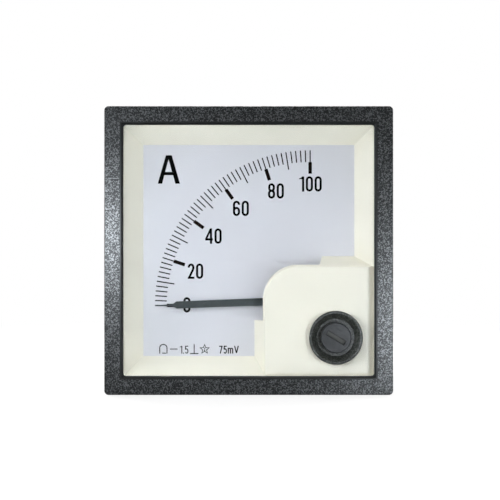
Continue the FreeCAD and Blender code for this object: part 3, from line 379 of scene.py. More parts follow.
def slotted_head(name, node_name):
    """Smooth black screw moulding with specks and scratches, painted shade in and around its slot and a
    lighter slot floor.
    """
    made, tree, place = surface(name, node_name, Specular_IOR_Level=0.6)
    clouds = cloudy(tree, place, 1.4, (0.010, 0.012, 0.014), (0.022, 0.025, 0.028))
    parts = split(tree, place)
    sine, cosine = math.sin(SLOT_TURN), math.cos(SLOT_TURN)
    across = worked(tree, "MULTIPLY_ADD", parts["X"], sine, worked(tree, "MULTIPLY", parts["Z"], cosine))
    along = worked(tree, "MULTIPLY_ADD", parts["X"], cosine, worked(tree, "MULTIPLY", parts["Z"], -sine))
    masks = []
    for value, inner, outer in ((across, SLOT_HALF_WIDTH + 0.1, SLOT_HALF_WIDTH + SLOT_SHADE_REACH),
                                (along, SLOT_HALF_LENGTH, SLOT_HALF_LENGTH + SLOT_SHADE_REACH)):
        masks.append(eased(tree, worked(tree, "ABSOLUTE", value), outer * MM, inner * MM))
    # Painted shade: the slot and a thin band round it are darkened as if in shadow.
    slot_shade = worked(tree, "MULTIPLY", *masks)
    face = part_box(node_name)[0].y - middle_of(node_name).y
    floor = eased(tree, parts["Y"], *[face + depth * MM for depth in SLOT_FLOOR])
    scratched = tinted(tree, scratches(tree, place, 0.8), clouds["Color"], (0.12, 0.12, 0.125))
    slot_shaded = tinted(tree, slot_shade, scratched, (0.001, 0.001, 0.001))
    base = tinted(tree, floor, slot_shaded, (0.10, 0.105, 0.10))
    specks = sparked(tree, place, 0.7)
    rough = worked(tree, "MULTIPLY_ADD", slot_shade, 0.5, between(tree, specks["Crest"], 0.42, 0.28))
    return finished(made, base, rough, specks["Height"], 0.008)


def moulded_case(name):
    """Smooth black case moulding with faint flow, hairlines and rubbed edges."""
    made, tree, place = surface(name, Specular_IOR_Level=0.6)
    clouds = cloudy(tree, place, 14.0, (0.018, 0.018, 0.019), (0.022, 0.022, 0.023))
    wear = worked(tree, "MULTIPLY", worn_edges(tree, 0.4, 2.0), 0.6)
    lines = scratches(tree, place, 0.5)
    marked = worked(tree, "MAXIMUM", wear, worked(tree, "MULTIPLY", lines, 0.3))
    base = tinted(tree, marked, clouds["Color"], (0.075, 0.075, 0.078))
    rough = worked(tree, "MULTIPLY_ADD", lines, 0.15, between(tree, clouds["Tone"], 0.36, 0.46))
    return finished(made, base, rough, sparked(tree, place, 0.16)["Height"], 0.004)


def moulded_ivory(name):
    """Satin ivory moulding of the mask, in two close tones, a touch grey where it is rubbed."""
    made, tree, place = surface(name, Specular_IOR_Level=0.35)
    clouds = cloudy(tree, place, 9.0, (0.835, 0.80, 0.68), (0.865, 0.83, 0.71))
    wear = worked(tree, "MULTIPLY", worn_edges(tree, 0.3, 1.2), 0.35)
    base = tinted(tree, wear, clouds["Color"], (0.70, 0.70, 0.62))
    rough = between(tree, clouds["Tone"], 0.40, 0.47)
    return finished(made, base, rough, sparked(tree, place, 0.3)["Height"], 0.0012)


def clear_window(name):
    """Clear moulded window: glass for what is seen, open for the lamps' rays."""
    made, tree, place = surface(name, Transmission_Weight=1.0, IOR=1.49, Metallic=0.0)
    clouds = cloudy(tree, place, 20.0, (0.985, 0.99, 0.99), (0.995, 0.995, 0.995))
    rough = between(tree, scratches(tree, place, 0.3), 0.015, 0.06)
    finished(made, clouds["Color"], rough, clouds["Tone"], 0.002)
    opened = put(tree, "ShaderNodeBsdfTransparent").outputs[0]
    lamp = put(tree, "ShaderNodeLightPath").outputs[LAMP_RAY]
    glass = tree.nodes[SHADER].outputs[0]
    seen = put(tree, "ShaderNodeMixShader", {0: lamp, 1: glass, 2: opened}).outputs[0]
    tree.links.new(seen, tree.nodes["Material Output"].inputs["Surface"])
    return made


def painted_dial(name):
    """Cool white satin paint on thin sheet, faintly uneven."""
    made, tree, place = surface(name, Specular_IOR_Level=0.5)
    clouds = cloudy(tree, place, 16.0, (0.65, 0.65, 0.685), (0.67, 0.67, 0.71))
    wear = worked(tree, "MULTIPLY", worn_edges(tree, 0.15, 1.0), 0.5)
    base = tinted(tree, wear, clouds["Color"], (0.5, 0.5, 0.5))
    rough = between(tree, clouds["Tone"], 0.39, 0.42)
    return finished(made, base, rough, noise(tree, place, 2600.0), 0.0015)


def painted_pointer(name):
    """Dark grey paint of the pointer, thin and lighter along its folds."""
    made, tree, place = surface(name, "pointer", Specular_IOR_Level=0.2)
    clouds = cloudy(tree, place, 2.0, (0.030, 0.039, 0.040), (0.040, 0.050, 0.052))
    wear = worked(tree, "MULTIPLY", worn_edges(tree, 0.1, 0.8), 0.3)
    base = tinted(tree, wear, clouds["Color"], (0.13, 0.14, 0.14))
    rough = between(tree, clouds["Tone"], 0.42, 0.55)
    return finished(made, base, rough, noise(tree, place, 5000.0, 1.0), 0.002)


def printed_ink(name, base, thin):
    """Screen-printed ink, a little thinner in places."""
    made, tree, place = surface(name, Specular_IOR_Level=0.0)
    clouds = cloudy(tree, place, 0.7, base, thin)
    rough = between(tree, clouds["Tone"], 0.7, 0.8)
    return finished(made, clouds["Color"], rough, noise(tree, place, 9000.0), 0.001)


def brightened(tone, factor):
    """Colour times a factor, at most 1."""
    return [min(1.0, value * factor) for value in tone]


def turned_metal(name, tones, node_name, rough=0.26):
    """Turned metal with rings round its own axis, dull clouds and bright edges."""
    made, tree, place = surface(name, node_name, Metallic=1.0)
    clouds = cloudy(tree, place, 2.5, *tones)
    base = tinted(tree, worn_edges(tree, 0.2, 1.0), clouds["Color"], brightened(tones[0], 1.25))
    rings = use(tree, TURNED, {"Vector": place, "Pitch": 0.12 * MM})["Height"]
    uneven = between(tree, clouds["Tone"], rough, rough + 0.12)
    return finished(made, base, worked(tree, "MULTIPLY_ADD", rings, 0.14, uneven), rings, 0.006)


def sheet_metal(name, tones, node_name):
    """Rolled and stamped sheet with brush marks along X and bright edges."""
    made, tree, place = surface(name, node_name, Metallic=1.0)
    clouds = cloudy(tree, place, 4.0, *tones)
    base = tinted(tree, worn_edges(tree, 0.15, 1.0), clouds["Color"], brightened(tones[0], 1.2))
    marks = use(tree, BRUSHED, {"Vector": place, "Length": 6.0 * MM, "Width": 0.08 * MM})["Height"]
    uneven = between(tree, clouds["Tone"], 0.32, 0.42)
    return finished(made, base, worked(tree, "MULTIPLY_ADD", marks, 0.15, uneven), marks, 0.004)


def wound_wire(name, node_name, axis, wire):
    """Enamelled copper turns, side by side along one axis, with painted shade in the gaps between them."""
    made, tree, place = surface(name, node_name, Metallic=0.9, Coat_Roughness=0.2)
    turns = use(tree, TURNS, {"Along": split(tree, place)[axis], "Wire": wire * MM})
    clouds = cloudy(tree, place, 1.5, (0.60, 0.27, 0.13), (0.70, 0.34, 0.18))
    # Painted shade: the colour darkens where neighbouring turns meet.
    base = tinted(tree, turns["Gap Shade"], clouds["Color"], (0.12, 0.05, 0.03))
    return finished(made, base, between(tree, clouds["Tone"], 0.22, 0.3), turns["Height"], wire / 2)


def enamelled_wire(name, node_name):
    """Red-brown enamelled wire of the two leads."""
    made, tree, place = surface(name, node_name, Specular_IOR_Level=0.6)
    clouds = cloudy(tree, place, 1.0, (0.30, 0.09, 0.04), (0.40, 0.14, 0.06))
    base = tinted(tree, worn_edges(tree, 0.1, 0.6), clouds["Color"], (0.66, 0.33, 0.18))
    rough = between(tree, clouds["Tone"], 0.2, 0.32)
    return finished(made, base, rough, noise(tree, place, 4000.0), 0.003)


def cast_magnet(name, node_name):
    """Ground cast magnet: dark, with ring marks and small casting pits."""
    made, tree, place = surface(name, node_name, Metallic=1.0)
    clouds = cloudy(tree, place, 1.2, (0.22, 0.22, 0.23), (0.31, 0.31, 0.32))
    pores = put(tree, "ShaderNodeTexVoronoi", {"Vector": place, "Scale": 900.0}).outputs["Distance"]
    pits = eased(tree, pores, 0.0, 0.22)
    base = tinted(tree, pits, (0.05, 0.05, 0.05), clouds["Color"])
    rings = use(tree, TURNED, {"Vector": place, "Pitch": 0.15 * MM})["Height"]
    height = worked(tree, "MULTIPLY_ADD", rings, 0.3, pits)
    return finished(made, base, between(tree, rings, 0.35, 0.6), height, 0.02)


def laminate(name, node_name):
    """Brown paper laminate with short fibres and paler sawn edges."""
    made, tree, place = surface(name, node_name, Specular_IOR_Level=0.5)
    clouds = cloudy(tree, place, 1.6, (0.30, 0.155, 0.06), (0.40, 0.23, 0.105))
    fibres = use(tree, BRUSHED, {"Vector": place, "Length": 1.5 * MM, "Width": 0.12 * MM})["Height"]
    fibred = tinted(tree, eased(tree, fibres, 0.4, 0.7), clouds["Color"], (0.46, 0.29, 0.14))
    base = tinted(tree, worn_edges(tree, 0.2, 0.8), fibred, (0.55, 0.40, 0.24))
    return finished(made, base, between(tree, fibres, 0.35, 0.55), fibres, 0.006)


# Ground, paler ground and crest of the two textured mouldings, the crest's lighter colour being a painted
# glint, then each metal's bright and dull tone.
BEZEL_TONES = ((0.002, 0.003, 0.003), (0.004, 0.005, 0.005), (0.032, 0.037, 0.040))
BUSH_TONES = ((0.012, 0.015, 0.012), (0.018, 0.021, 0.018), (0.055, 0.062, 0.055))
BRASS = ((0.72, 0.56, 0.28), (0.62, 0.45, 0.20))
STEEL = ((0.60, 0.60, 0.61), (0.50, 0.50, 0.51))
IRON = ((0.46, 0.46, 0.47), (0.38, 0.38, 0.39))
BRONZE = ((0.66, 0.43, 0.24), (0.55, 0.35, 0.18))
ALUMINIUM = ((0.80, 0.80, 0.81), (0.70, 0.70, 0.72))
METALS = {"brass": BRASS, "steel": STEEL, "soft_iron": IRON, "bronze": BRONZE, "aluminium": ALUMINIUM}
SHEET_PIECES = ("chassis_plate", "front_bridge", "rear_bridge", "front_hairspring", "rear_hairspring",
                "zero_lever", "balance_cross", "coil_former")


def dress(node_name, slot):
    """Finish of one CAD node, from its name and its slot in the record."""
    if node_name == "bezel":
        return moulded_black("spark_black_bezel", 0.34, 0.03, BEZEL_TONES, 1.0, plain_inside=32.1)
    if node_name == "adjuster_bush":
        return moulded_black("spark_black_bush", 0.36, 0.015, BUSH_TONES, 0.3)
    if node_name == "zero_screw":
        return slotted_head("smooth_black_screw", node_name)
    if node_name == "coil_winding":
        return wound_wire("coil_turns", node_name, "Z", 0.12)
    if node_name == "resistor_winding":
        return wound_wire("resistor_turns", node_name, "X", 0.2)
    if slot == "case_plastic":
        return moulded_case("case_black")
    if slot == "ivory_plastic":
        return moulded_ivory("ivory_mask")
    if slot == "window_clear":
        return clear_window("clear_window")
    if slot == "dial_white":
        return painted_dial("dial_paint")
    if slot == "pointer_black":
        return painted_pointer("pointer_paint")
    if slot == "magnet":
        return cast_magnet("ground_magnet", node_name)
    if slot == "board":
        return laminate("brown_laminate", node_name)
    if slot == "copper":
        return enamelled_wire("enamelled_" + node_name, node_name)
    if node_name in SHEET_PIECES:
        return sheet_metal(slot + "_sheet_" + node_name, METALS[slot], node_name)
    return turned_metal(slot + "_turned_" + node_name, METALS[slot], node_name)


# Pieces and meshes


def placed(name, data):
    """A new object in the scene."""
    made = bpy.data.objects.new(name, data)
    bpy.context.scene.collection.objects.link(made)
    return made


def add_piece(name, mesh, finish, body):
    """A piece of the scene that rides on a body."""
    mesh.name = name
    mesh.materials.clear()
    mesh.materials.append(finish)
    made = placed(name, mesh)
    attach(made, body)
    return made


def welded(mesh, distance):
    """Shape of a mesh, with corners that lie within a distance of each other merged."""
    shape = bmesh.new()
    shape.from_mesh(mesh)
    bmesh.ops.remove_doubles(shape, verts=shape.verts, dist=distance * MM)
    return shape


def mesh_of(name, shape):
    """Mesh of a shape, which is freed."""
    mesh = bpy.data.meshes.new(name)
    shape.to_mesh(mesh)
    shape.free()
    return mesh


def evaluated_mesh(made):
    """Mesh of an object with its modifiers applied."""
    evaluated = made.evaluated_get(bpy.context.evaluated_depsgraph_get())
    return bpy.data.meshes.new_from_object(evaluated)


def grown(name, tree, values):
    """Plain mesh of what a geometry tree makes with these values."""
    seed = placed(name, bpy.data.meshes.new(name))
    modifier = seed.modifiers.new("tree", "NODES")
    modifier.node_group = tree
    for item in tree.interface.items_tree:
        if item.in_out == "INPUT" and item.name in values:
            modifier[item.identifier] = values[item.name]
    mesh = evaluated_mesh(seed)
    bpy.data.objects.remove(seed)
    return mesh


def geometry_tree(name, inputs):
    """Starts a tree of geometry nodes; returns it, what its inputs give, and its output sockets."""
    return new_tree(name, "GeometryNodeTree", {"Geometry": "Geometry", **inputs}, {"Geometry": "Geometry"})


def finish_tree(tree, geometry, material, taken):
    """Makes instances real, gives them their material and links them to the output."""
    real = put(tree, "GeometryNodeRealizeInstances", {0: geometry}).outputs[0]
    coated = put(tree, "GeometryNodeSetMaterial", {"Geometry": real, "Material": material}).outputs[0]
    tree.links.new(coated, taken[0])
    return tree


def arc(middle, across, up, start, end, steps=10):
    """Points of an elliptic arc, angles in degrees."""
    points = []
    for step in range(steps + 1):
        angle = math.radians(start + (end - start) * step / steps)
        points.append((middle[0] + across * math.cos(angle), middle[1] + up * math.sin(angle)))
    return points


def moved(loop, across, up):
    """Loop shifted in its plane."""
    return [(x + across, y + up) for x, y in loop]


def sheet_of(loops, thickness):
    """Flat closed mesh of outlines and holes, from a filled curve."""
    outline = bpy.data.curves.new("outline", "CURVE")
    outline.dimensions = "2D"
    outline.fill_mode = "BOTH"
    outline.extrude = thickness * MM / 2
    for loop in loops:
        spline = outline.splines.new("POLY")
        spline.points.add(len(loop) - 1)
        for point, (across, up) in zip(spline.points, loop):
            point.co = (across * MM, up * MM, 0.0, 1.0)
        spline.use_cyclic_u = True
    holder = bpy.data.objects.new("outline", outline)
    flat = bpy.data.meshes.new_from_object(holder)
    bpy.data.objects.remove(holder)
    for layer in list(flat.uv_layers):
        flat.uv_layers.remove(layer)
    return mesh_of("outline", welded(flat, PRINT_WELD))


def printed(flat_parts, thickness, front):
    """Mesh of flat parts stood up in the dial's plane, facing the viewer at front."""
    upright = Matrix.Rotation(math.radians(90.0), 4, "X")
    stand = Matrix.Translation((0.0, (front + thickness / 2) * MM, 0.0)) @ upright
    shape = bmesh.new()
    for loops in flat_parts:
        flat = sheet_of(loops, thickness)
        flat.transform(stand)
        shape.from_mesh(flat)
        bpy.data.meshes.remove(flat)
    for face in shape.faces:
        face.smooth = False
    return mesh_of("printed", shape)


# Printed dial


def side_steps(path, closed):
    """Unit side vector at each point of a path, stretched at its corners so that the width stays even."""
    count = len(path)
    sides = []
    for index in range(count):
        here = Vector(path[index])
        before = Vector(path[index - 1]) if closed or index > 0 else None
        after = Vector(path[(index + 1) % count]) if closed or index < count - 1 else None
        way_in = (here - before).normalized() if before is not None else (after - here).normalized()
        way_out = (after - here).normalized() if after is not None else way_in
        across_in = Vector((-way_in.y, way_in.x))
        across_out = Vector((-way_out.y, way_out.x))
        middle = (across_in + across_out).normalized()
        sides.append(middle / max(0.5, middle.dot(across_in)))
    return sides


def stroke(path, width, closed=False):
    """Outline loops of a stroke of even width along a path."""
    sides = side_steps(path, closed)
    left = [tuple(Vector(point) + side * width / 2) for point, side in zip(path, sides)]
    right = [tuple(Vector(point) - side * width / 2) for point, side in zip(path, sides)]
    if closed:
        return [left, right]
    return [left + right[::-1]]


def long_ring(wide, low, high, pen):
    """Middle line of an upright ring, round at its ends."""
    across = (wide - pen) / 2
    up = min(across * 1.12, (high - low - pen) / 2)
    top = arc((wide / 2, high - pen / 2 - up), across, up, 0, 180)
    foot = arc((wide / 2, low + pen / 2 + up), across, up, 180, 360)
    return top + foot


# Each sign is one unit high and is drawn by a function of its width and its pen.


def digit_zero(wide, pen):
    """Loops of a 0."""
    return [stroke(long_ring(wide, 0.0, 1.0, pen), pen, closed=True)]


def digit_one(wide, pen):
    """Loops of a 1 with its short flag."""
    stem = [(wide - pen / 2, 0.0), (wide - pen / 2, 0.985)]
    flag = [(0.0, 0.80), (0.0, 0.865), (wide * 0.35, 0.885), (wide - pen, 0.985), (wide - pen / 2, 0.985),
            (wide - pen / 2, 0.81)]
    return [stroke(stem, pen), [flag]]


def digit_two(wide, pen):
    """Loops of a 2."""
    across = (wide - pen) / 2
    top = arc((wide / 2, 1.0 - pen / 2 - across * 1.1), across, across * 1.1, 195, 0)
    tail = [(wide - pen / 2, 0.70), (wide - pen * 0.62, 0.62), (pen * 0.62, pen * 0.5)]
    foot = [(0.0, pen / 2), (wide, pen / 2)]
    return [stroke(top + tail, pen), stroke(foot, pen)]


def digit_four(wide, pen):
    """Loops of a 4."""
    stem = wide * 0.755
    slant = [(pen * 0.42, 0.30), (stem - pen * 0.1, 0.97)]
    beam = [(0.0, 0.285), (wide, 0.285)]
    post = [(stem, 0.0), (stem, 1.0)]
    return [stroke(slant, pen * 0.9), stroke(beam, pen), stroke(post, pen)]


def digit_five(wide, pen):
    """Loops of a 5."""
    across = (wide - pen) / 2
    beam = [(pen * 0.3, 1.0 - pen / 2), (wide * 0.94, 1.0 - pen / 2)]
    back = [(pen * 0.8, 1.0), (pen * 0.6, 0.52)]
    belly = [(pen * 0.6, 0.54)] + arc((wide / 2, 0.33), across, 0.27, 120, -150, steps=16)
    return [stroke(beam, pen), stroke(back, pen), stroke(belly, pen)]


def digit_six(wide, pen):
    """Loops of a 6."""
    across = (wide - pen) / 2
    up = across * 1.12
    bow = arc((wide / 2, 1.0 - pen / 2 - up), across, up, 0, 180)
    hook = [(wide - pen / 2, 0.735), *bow, (pen / 2, 0.30)]
    return [stroke(long_ring(wide, 0.0, 0.60, pen), pen, closed=True), stroke(hook, pen)]


def digit_seven(wide, pen):
    """Loops of a 7."""
    beam = [(0.0, 1.0 - pen / 2), (wide, 1.0 - pen / 2)]
    slant = [(wide - pen * 0.5, 0.97), (wide * 0.32, 0.0)]
    return [stroke(beam, pen), stroke(slant, pen)]


def digit_eight(wide, pen):
    """Loops of an 8: a narrower ring on a wider one, sharing the waist."""
    waist = 0.515
    upper = [(x * 0.94 + wide * 0.03, y) for x, y in long_ring(wide, waist - pen / 2, 1.0, pen)]
    lower = long_ring(wide, 0.0, waist + pen / 2, pen)
    return [stroke(upper, pen, closed=True), stroke(lower, pen, closed=True)]


def small_m(wide, pen):
    """Loops of a small m, three quarters high."""
    across = (wide - pen) / 4
    loops = [stroke([(pen / 2, 0.0), (pen / 2, 0.74)], pen)]
    for left in (pen / 2, pen / 2 + across * 2):
        bow = arc((left + across, 0.74 - pen / 2 - across), across, across, 180, 0)
        loops.append(stroke([(left, 0.3), *bow, (left + across * 2, 0.0)], pen))
    return loops


def capital_v(wide, pen):
    """Loops of a V."""
    foot = (wide / 2, pen * 0.4)
    return [stroke([(side, 1.0), foot], pen) for side in (pen / 2, wide - pen / 2)]


def point_mark(wide, pen):
    """Loops of a decimal point."""
    return [stroke([(wide / 2, 0.0), (wide / 2, pen)], pen)]


# Each sign: what draws it and its width, as a share of its height.
SIGNS = {
    "0": (digit_zero, 0.468),
    "1": (digit_one, 0.335),
    "2": (digit_two, 0.432),
    "4": (digit_four, 0.505),
    "5": (digit_five, 0.45),
    "6": (digit_six, 0.470),
    "7": (digit_seven, 0.45),
    "8": (digit_eight, 0.466),
    "m": (small_m, 0.70),
    "V": (capital_v, 0.62),
    ".": (point_mark, 0.16),
}

# The dial's numbers: text, left edge and foot. Then its unit letter and the row of small symbols.
NUMBERS = (("0", -16.82, -15.96), ("20", -15.67, -7.30), ("40", -11.21, 1.72), ("60", -4.08, 8.83),
           ("80", 4.93, 13.31), ("100", 12.93, 15.12))
NUMBER_HEIGHT = 3.96
NUMBER_GAP = 0.40
NUMBER_PEN = 0.57
LETTER_PLACE = (-23.41, 17.16)
LETTER_OUTLINE = ((0.0, 0.0), (2.13, 7.31), (3.62, 7.31), (5.75, 0.0), (4.56, 0.0), (3.96, 2.18),
                  (1.72, 2.18), (1.17, 0.0))
LETTER_HOLE = ((1.93, 3.01), (3.72, 3.01), (2.80, 6.25))
SMALL_FOOT = -26.5
SMALL_HEIGHT = 2.02
SMALL_PEN = 0.24
ARCH_LEFT = -22.87
ARCH_HALF = 0.93
STAR_MIDDLE = (-11.34, -25.38)


def written(text, left, foot, height, gap, pen):
    """Flat parts of a word, from its left edge and foot."""
    parts = []
    for sign in text:
        draw, share = SIGNS[sign]
        for loops in draw(share, pen / height):
            parts.append([[(left + x * height, foot + y * height) for x, y in loop] for loop in loops])
        left += share * height + gap
    return parts


def scale_numbers():
    """Flat parts of the scale's numbers."""
    parts = []
    for text, left, foot in NUMBERS:
        parts.extend(written(text, left, foot, NUMBER_HEIGHT, NUMBER_GAP, NUMBER_PEN))
    return parts


def unit_letter():
    """Flat parts of the unit's letter."""
    return [[moved(loop, *LETTER_PLACE) for loop in (LETTER_OUTLINE, LETTER_HOLE)]]


def meter_symbols():
    """Flat parts of the general symbols: moving coil, direct current, class, upright use, test voltage."""
    bow = arc((ARCH_HALF, 1.5), ARCH_HALF, 0.86, 180, 0)
    arch = [(0.0, 0.0), *bow, (ARCH_HALF * 2, 0.0)]
    parts = [stroke(moved(arch, ARCH_LEFT, SMALL_FOOT), 0.25)]
    parts.append(stroke([(-22.25, SMALL_FOOT + 0.12), (-21.25, SMALL_FOOT + 0.12)], SMALL_PEN))
    parts.append(stroke([(-20.25, -25.33), (-18.3, -25.33)], SMALL_PEN))
    parts.extend(written("1.5", -17.75, SMALL_FOOT, SMALL_HEIGHT, 0.17, SMALL_PEN))
    parts.append(stroke([(-15.1, SMALL_FOOT), (-12.95, SMALL_FOOT)], SMALL_PEN))
    parts.append(stroke([(-14.03, SMALL_FOOT), (-14.03, SMALL_FOOT + 2.42)], SMALL_PEN))
    star = []
    for corner in range(10):
        reach = 1.22 if corner % 2 == 0 else 0.52
        angle = math.radians(90.0 + 36.0 * corner)
        star.append((reach * math.cos(angle), reach * math.sin(angle)))
    parts.append(stroke(moved(star, *STAR_MIDDLE), 0.2, closed=True))
    parts.extend(written("2", -11.54, -25.85, 0.86, 0.0, 0.14))
    parts.extend(written("75mV", -7.62, SMALL_FOOT, SMALL_HEIGHT, 0.2, 0.29))
    return parts


def scale_marks_tree():
    """Geometry tree of a row of printed marks on an arc; its named inputs carry every size."""
    sizes = ("First Angle", "Step Angle", "Outer Radius", "Length", "Width", "Corner", "Thickness")
    inputs = {"Count": "Int", **{label: "Float" for label in sizes}, "Centre": "Vector", "Ink": "Material"}
    tree, given, taken = geometry_tree("row of scale marks", inputs)
    box_sizes = {"Width": given["Length"], "Height": given["Width"]}
    edge = put(tree, "GeometryNodeCurvePrimitiveQuadrilateral", box_sizes).outputs[0]
    rounded = put(tree, "GeometryNodeFilletCurve", {"Curve": edge, "Radius": given["Corner"]}).outputs[0]
    flat = put(tree, "GeometryNodeFillCurve", {"Curve": rounded}, mode="NGONS").outputs[0]
    rise = {"Mesh": flat, "Offset Scale": given["Thickness"], "Individual": False}
    raised = put(tree, "GeometryNodeExtrudeMesh", rise)
    under = put(tree, "GeometryNodeFlipFaces", {"Mesh": flat}).outputs[0]
    shell = put(tree, "GeometryNodeJoinGeometry")
    tree.links.new(under, shell.inputs[0])
    tree.links.new(raised.outputs["Mesh"], shell.inputs[0])
    weld = {"Geometry": shell.outputs[0], "Distance": PRINT_WELD * MM}
    mark = put(tree, "GeometryNodeMergeByDistance", weld).outputs[0]
    index = put(tree, "GeometryNodeInputIndex").outputs[0]
    turn = worked(tree, "MULTIPLY", index, given["Step Angle"])
    angle = worked(tree, "RADIANS", worked(tree, "SUBTRACT", given["First Angle"], turn))
    reach = worked(tree, "MULTIPLY_ADD", given["Length"], -0.5, given["Outer Radius"])
    ray = {0: worked(tree, "MULTIPLY", reach, worked(tree, "COSINE", angle)),
           2: worked(tree, "MULTIPLY", reach, worked(tree, "SINE", angle))}
    spoke = {0: joined(tree, ray), 1: given["Centre"]}
    spot = put(tree, "ShaderNodeVectorMath", spoke, operation="ADD").outputs[0]
    points = put(tree, "GeometryNodePoints", {"Count": given["Count"], "Position": spot}).outputs[0]
    turned = joined(tree, {0: math.radians(90.0), 1: worked(tree, "MULTIPLY", angle, -1.0)})
    row = {"Points": points, "Instance": mark, "Rotation": turned}
    marks = put(tree, "GeometryNodeInstanceOnPoints", row).outputs[0]
    return finish_tree(tree, marks, given["Ink"], taken)


def add_scale(ink, bold_ink, face):
    """Fine, middle and bold marks of the scale."""
    tree = scale_marks_tree()
    sweep = ZERO_ANGLE - FULL_ANGLE
    inner = SCALE_RADIUS - FINE_LENGTH
    centre = (PIVOT[0] * MM, (face + INK_SUNK) * MM, PIVOT[1] * MM)
    shared = {"Corner": MARK_CORNER * MM, "Thickness": (INK + INK_SUNK) * MM, "Centre": centre}
    fine_step = sweep / (FINE_MARKS - 1)
    rows = (
        ("scale_marks_fine", FINE_MARKS, 0.0, fine_step, SCALE_RADIUS, FINE_LENGTH, FINE_WIDTH, ink),
        ("scale_marks_middle", 5, sweep / 10, sweep / 5, inner, MIDDLE_LENGTH, FINE_WIDTH, ink),
        ("scale_marks_bold", 6, 0.0, sweep / 5, inner, BOLD_LENGTH, BOLD_WIDTH, bold_ink),
    )
    for name, count, first, step, outer, length, width, finish in rows:
        sizes = {"Count": count, "First Angle": ZERO_ANGLE - first, "Step Angle": step}
        sizes.update({"Outer Radius": outer * MM, "Length": length * MM, "Width": width * MM, "Ink": finish})
        add_piece(name, grown(name, tree, {**shared, **sizes}), finish, "housing")


def add_print():
    """Everything that is printed on the dial."""
    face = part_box("dial_plate")[0].y / MM
    black = printed_ink("black_ink", (0.001, 0.001, 0.001), (0.002, 0.002, 0.002))
    brown = printed_ink("brown_black_ink", (0.005, 0.0025, 0.002), (0.012, 0.006, 0.005))
    grey = printed_ink("fine_mark_ink", (0.004, 0.004, 0.0045), (0.012, 0.012, 0.013))
    add_scale(grey, brown, face)
    prints = (("scale_numbers", scale_numbers(), black), ("unit_letter", unit_letter(), black),
              ("meter_symbols", meter_symbols(), grey))
    for name, parts, ink in prints:
        add_piece(name, printed(parts, INK + INK_SUNK, face - INK), ink, "housing")


# Front of the meter


def prism(name, section, start, end, axis):
    """Solid between two places along an axis; a section point gives the other two coordinates."""
    solid = bmesh.new()
    rings = []
    for place in (start, end):
        ring = []
        for first, second in section:
            point = [first, second]
            point.insert(axis, place)
            ring.append(solid.verts.new([value * MM for value in point]))
        rings.append(ring)
    count = len(section)
    for index in range(count):
        after = (index + 1) % count
        solid.faces.new((rings[0][index], rings[0][after], rings[1][after], rings[1][index]))
    solid.faces.new(rings[0])
    solid.faces.new(rings[1][::-1])
    bmesh.ops.recalc_face_normals(solid, faces=solid.faces)
    return placed(name, mesh_of(name, solid))


def carved(mesh, cutters):
    """Mesh with the cutters' shapes taken away; the cutters are removed afterwards."""
    block = placed("block", mesh)
    for cutter in cutters:
        cut = block.modifiers.new("cut", "BOOLEAN")
        cut.operation = "DIFFERENCE"
        cut.solver = "EXACT"
        cut.object = cutter
    result = evaluated_mesh(block)
    for used in (block, *cutters):
        bpy.data.objects.remove(used)
    return result


def add_mask_moulding(finish):
    """The mask with square ends on its inner walls and softly slanted edges beside the frame."""
    front, back = (corner.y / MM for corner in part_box("mask"))
    shape = welded(frame["nodes"]["mask"].data, SOLID_WELD)
    for vertex in shape.verts:
        at_back = abs(vertex.co.y / MM - back) < NEAR
        at_under = abs(vertex.co.y / MM - front - COVER_THICK) < NEAR
        for axis, side, end_back, end_front in WALL_ENDS:
            reach = vertex.co[axis] * side / MM
            if at_back and abs(reach - WALL_END_BACK) < NEAR:
                vertex.co[axis] = side * end_back * MM
            if at_under and abs(reach - WALL_END_FRONT) < NEAR:
                vertex.co[axis] = side * end_front * MM
    ahead = front - CUT_AHEAD
    right_section = [(OPENING_HALF, ahead), (SLANT_START, ahead)]
    for step in range(SLANT_STEPS + 1):
        share = step / SLANT_STEPS
        across = SLANT_START + (OPENING_HALF - SLANT_START) * share
        right_section.append((across, front + SLANT_DEPTH * share ** 1.5))
    low_section = [(ahead, -LOW_SLANT_START), (front, -LOW_SLANT_START),
                   (front + LOW_SLANT_DEPTH, -OPENING_HALF), (ahead, -OPENING_HALF)]
    cutters = (prism("right_cut", right_section, COVER_TOP, -OPENING_HALF, 2),
               prism("low_cut", low_section, COVER_LEFT, OPENING_HALF, 0))
    mesh = carved(mesh_of("mask_block", shape), cutters)
    made = add_piece("mask_moulding", mesh, finish, "housing")
    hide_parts("mask")


def add_window_pane(finish):
    """The window's own solid with a hair of air behind it, so that glass and cover don't share a face."""
    pane = welded(frame["nodes"]["window"].data, SOLID_WELD)
    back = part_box("window")[1].y
    for vertex in pane.verts:
        if vertex.co.y > back - PANE_NEAR * MM:
            vertex.co.y -= PANE_AIR * MM
    made = add_piece("window_pane", mesh_of("window_pane", pane), finish, "housing")
    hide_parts("window")


def add_corner_fillets(finish):
    """Small round fillets in the four corners of the frame's opening."""
    outer = FILLET_HALF + FILLET_SUNK
    inner = FILLET_HALF - FILLET_RADIUS
    bow = arc((inner, inner), FILLET_RADIUS, FILLET_RADIUS, 0, 90, steps=6)
    corner = [(outer, outer), (outer, inner), *bow, (inner, outer)]
    flat_parts = []
    for side, turn in ((1, 1), (-1, 1), (-1, -1), (1, -1)):
        flat_parts.append([[(x * side, z * turn) for x, z in corner]])
    mesh = printed(flat_parts, FILLET_BACK - FILLET_FRONT, FILLET_FRONT)
    add_piece("opening_corner_fillets", mesh, finish, "housing")


# Rear of the case


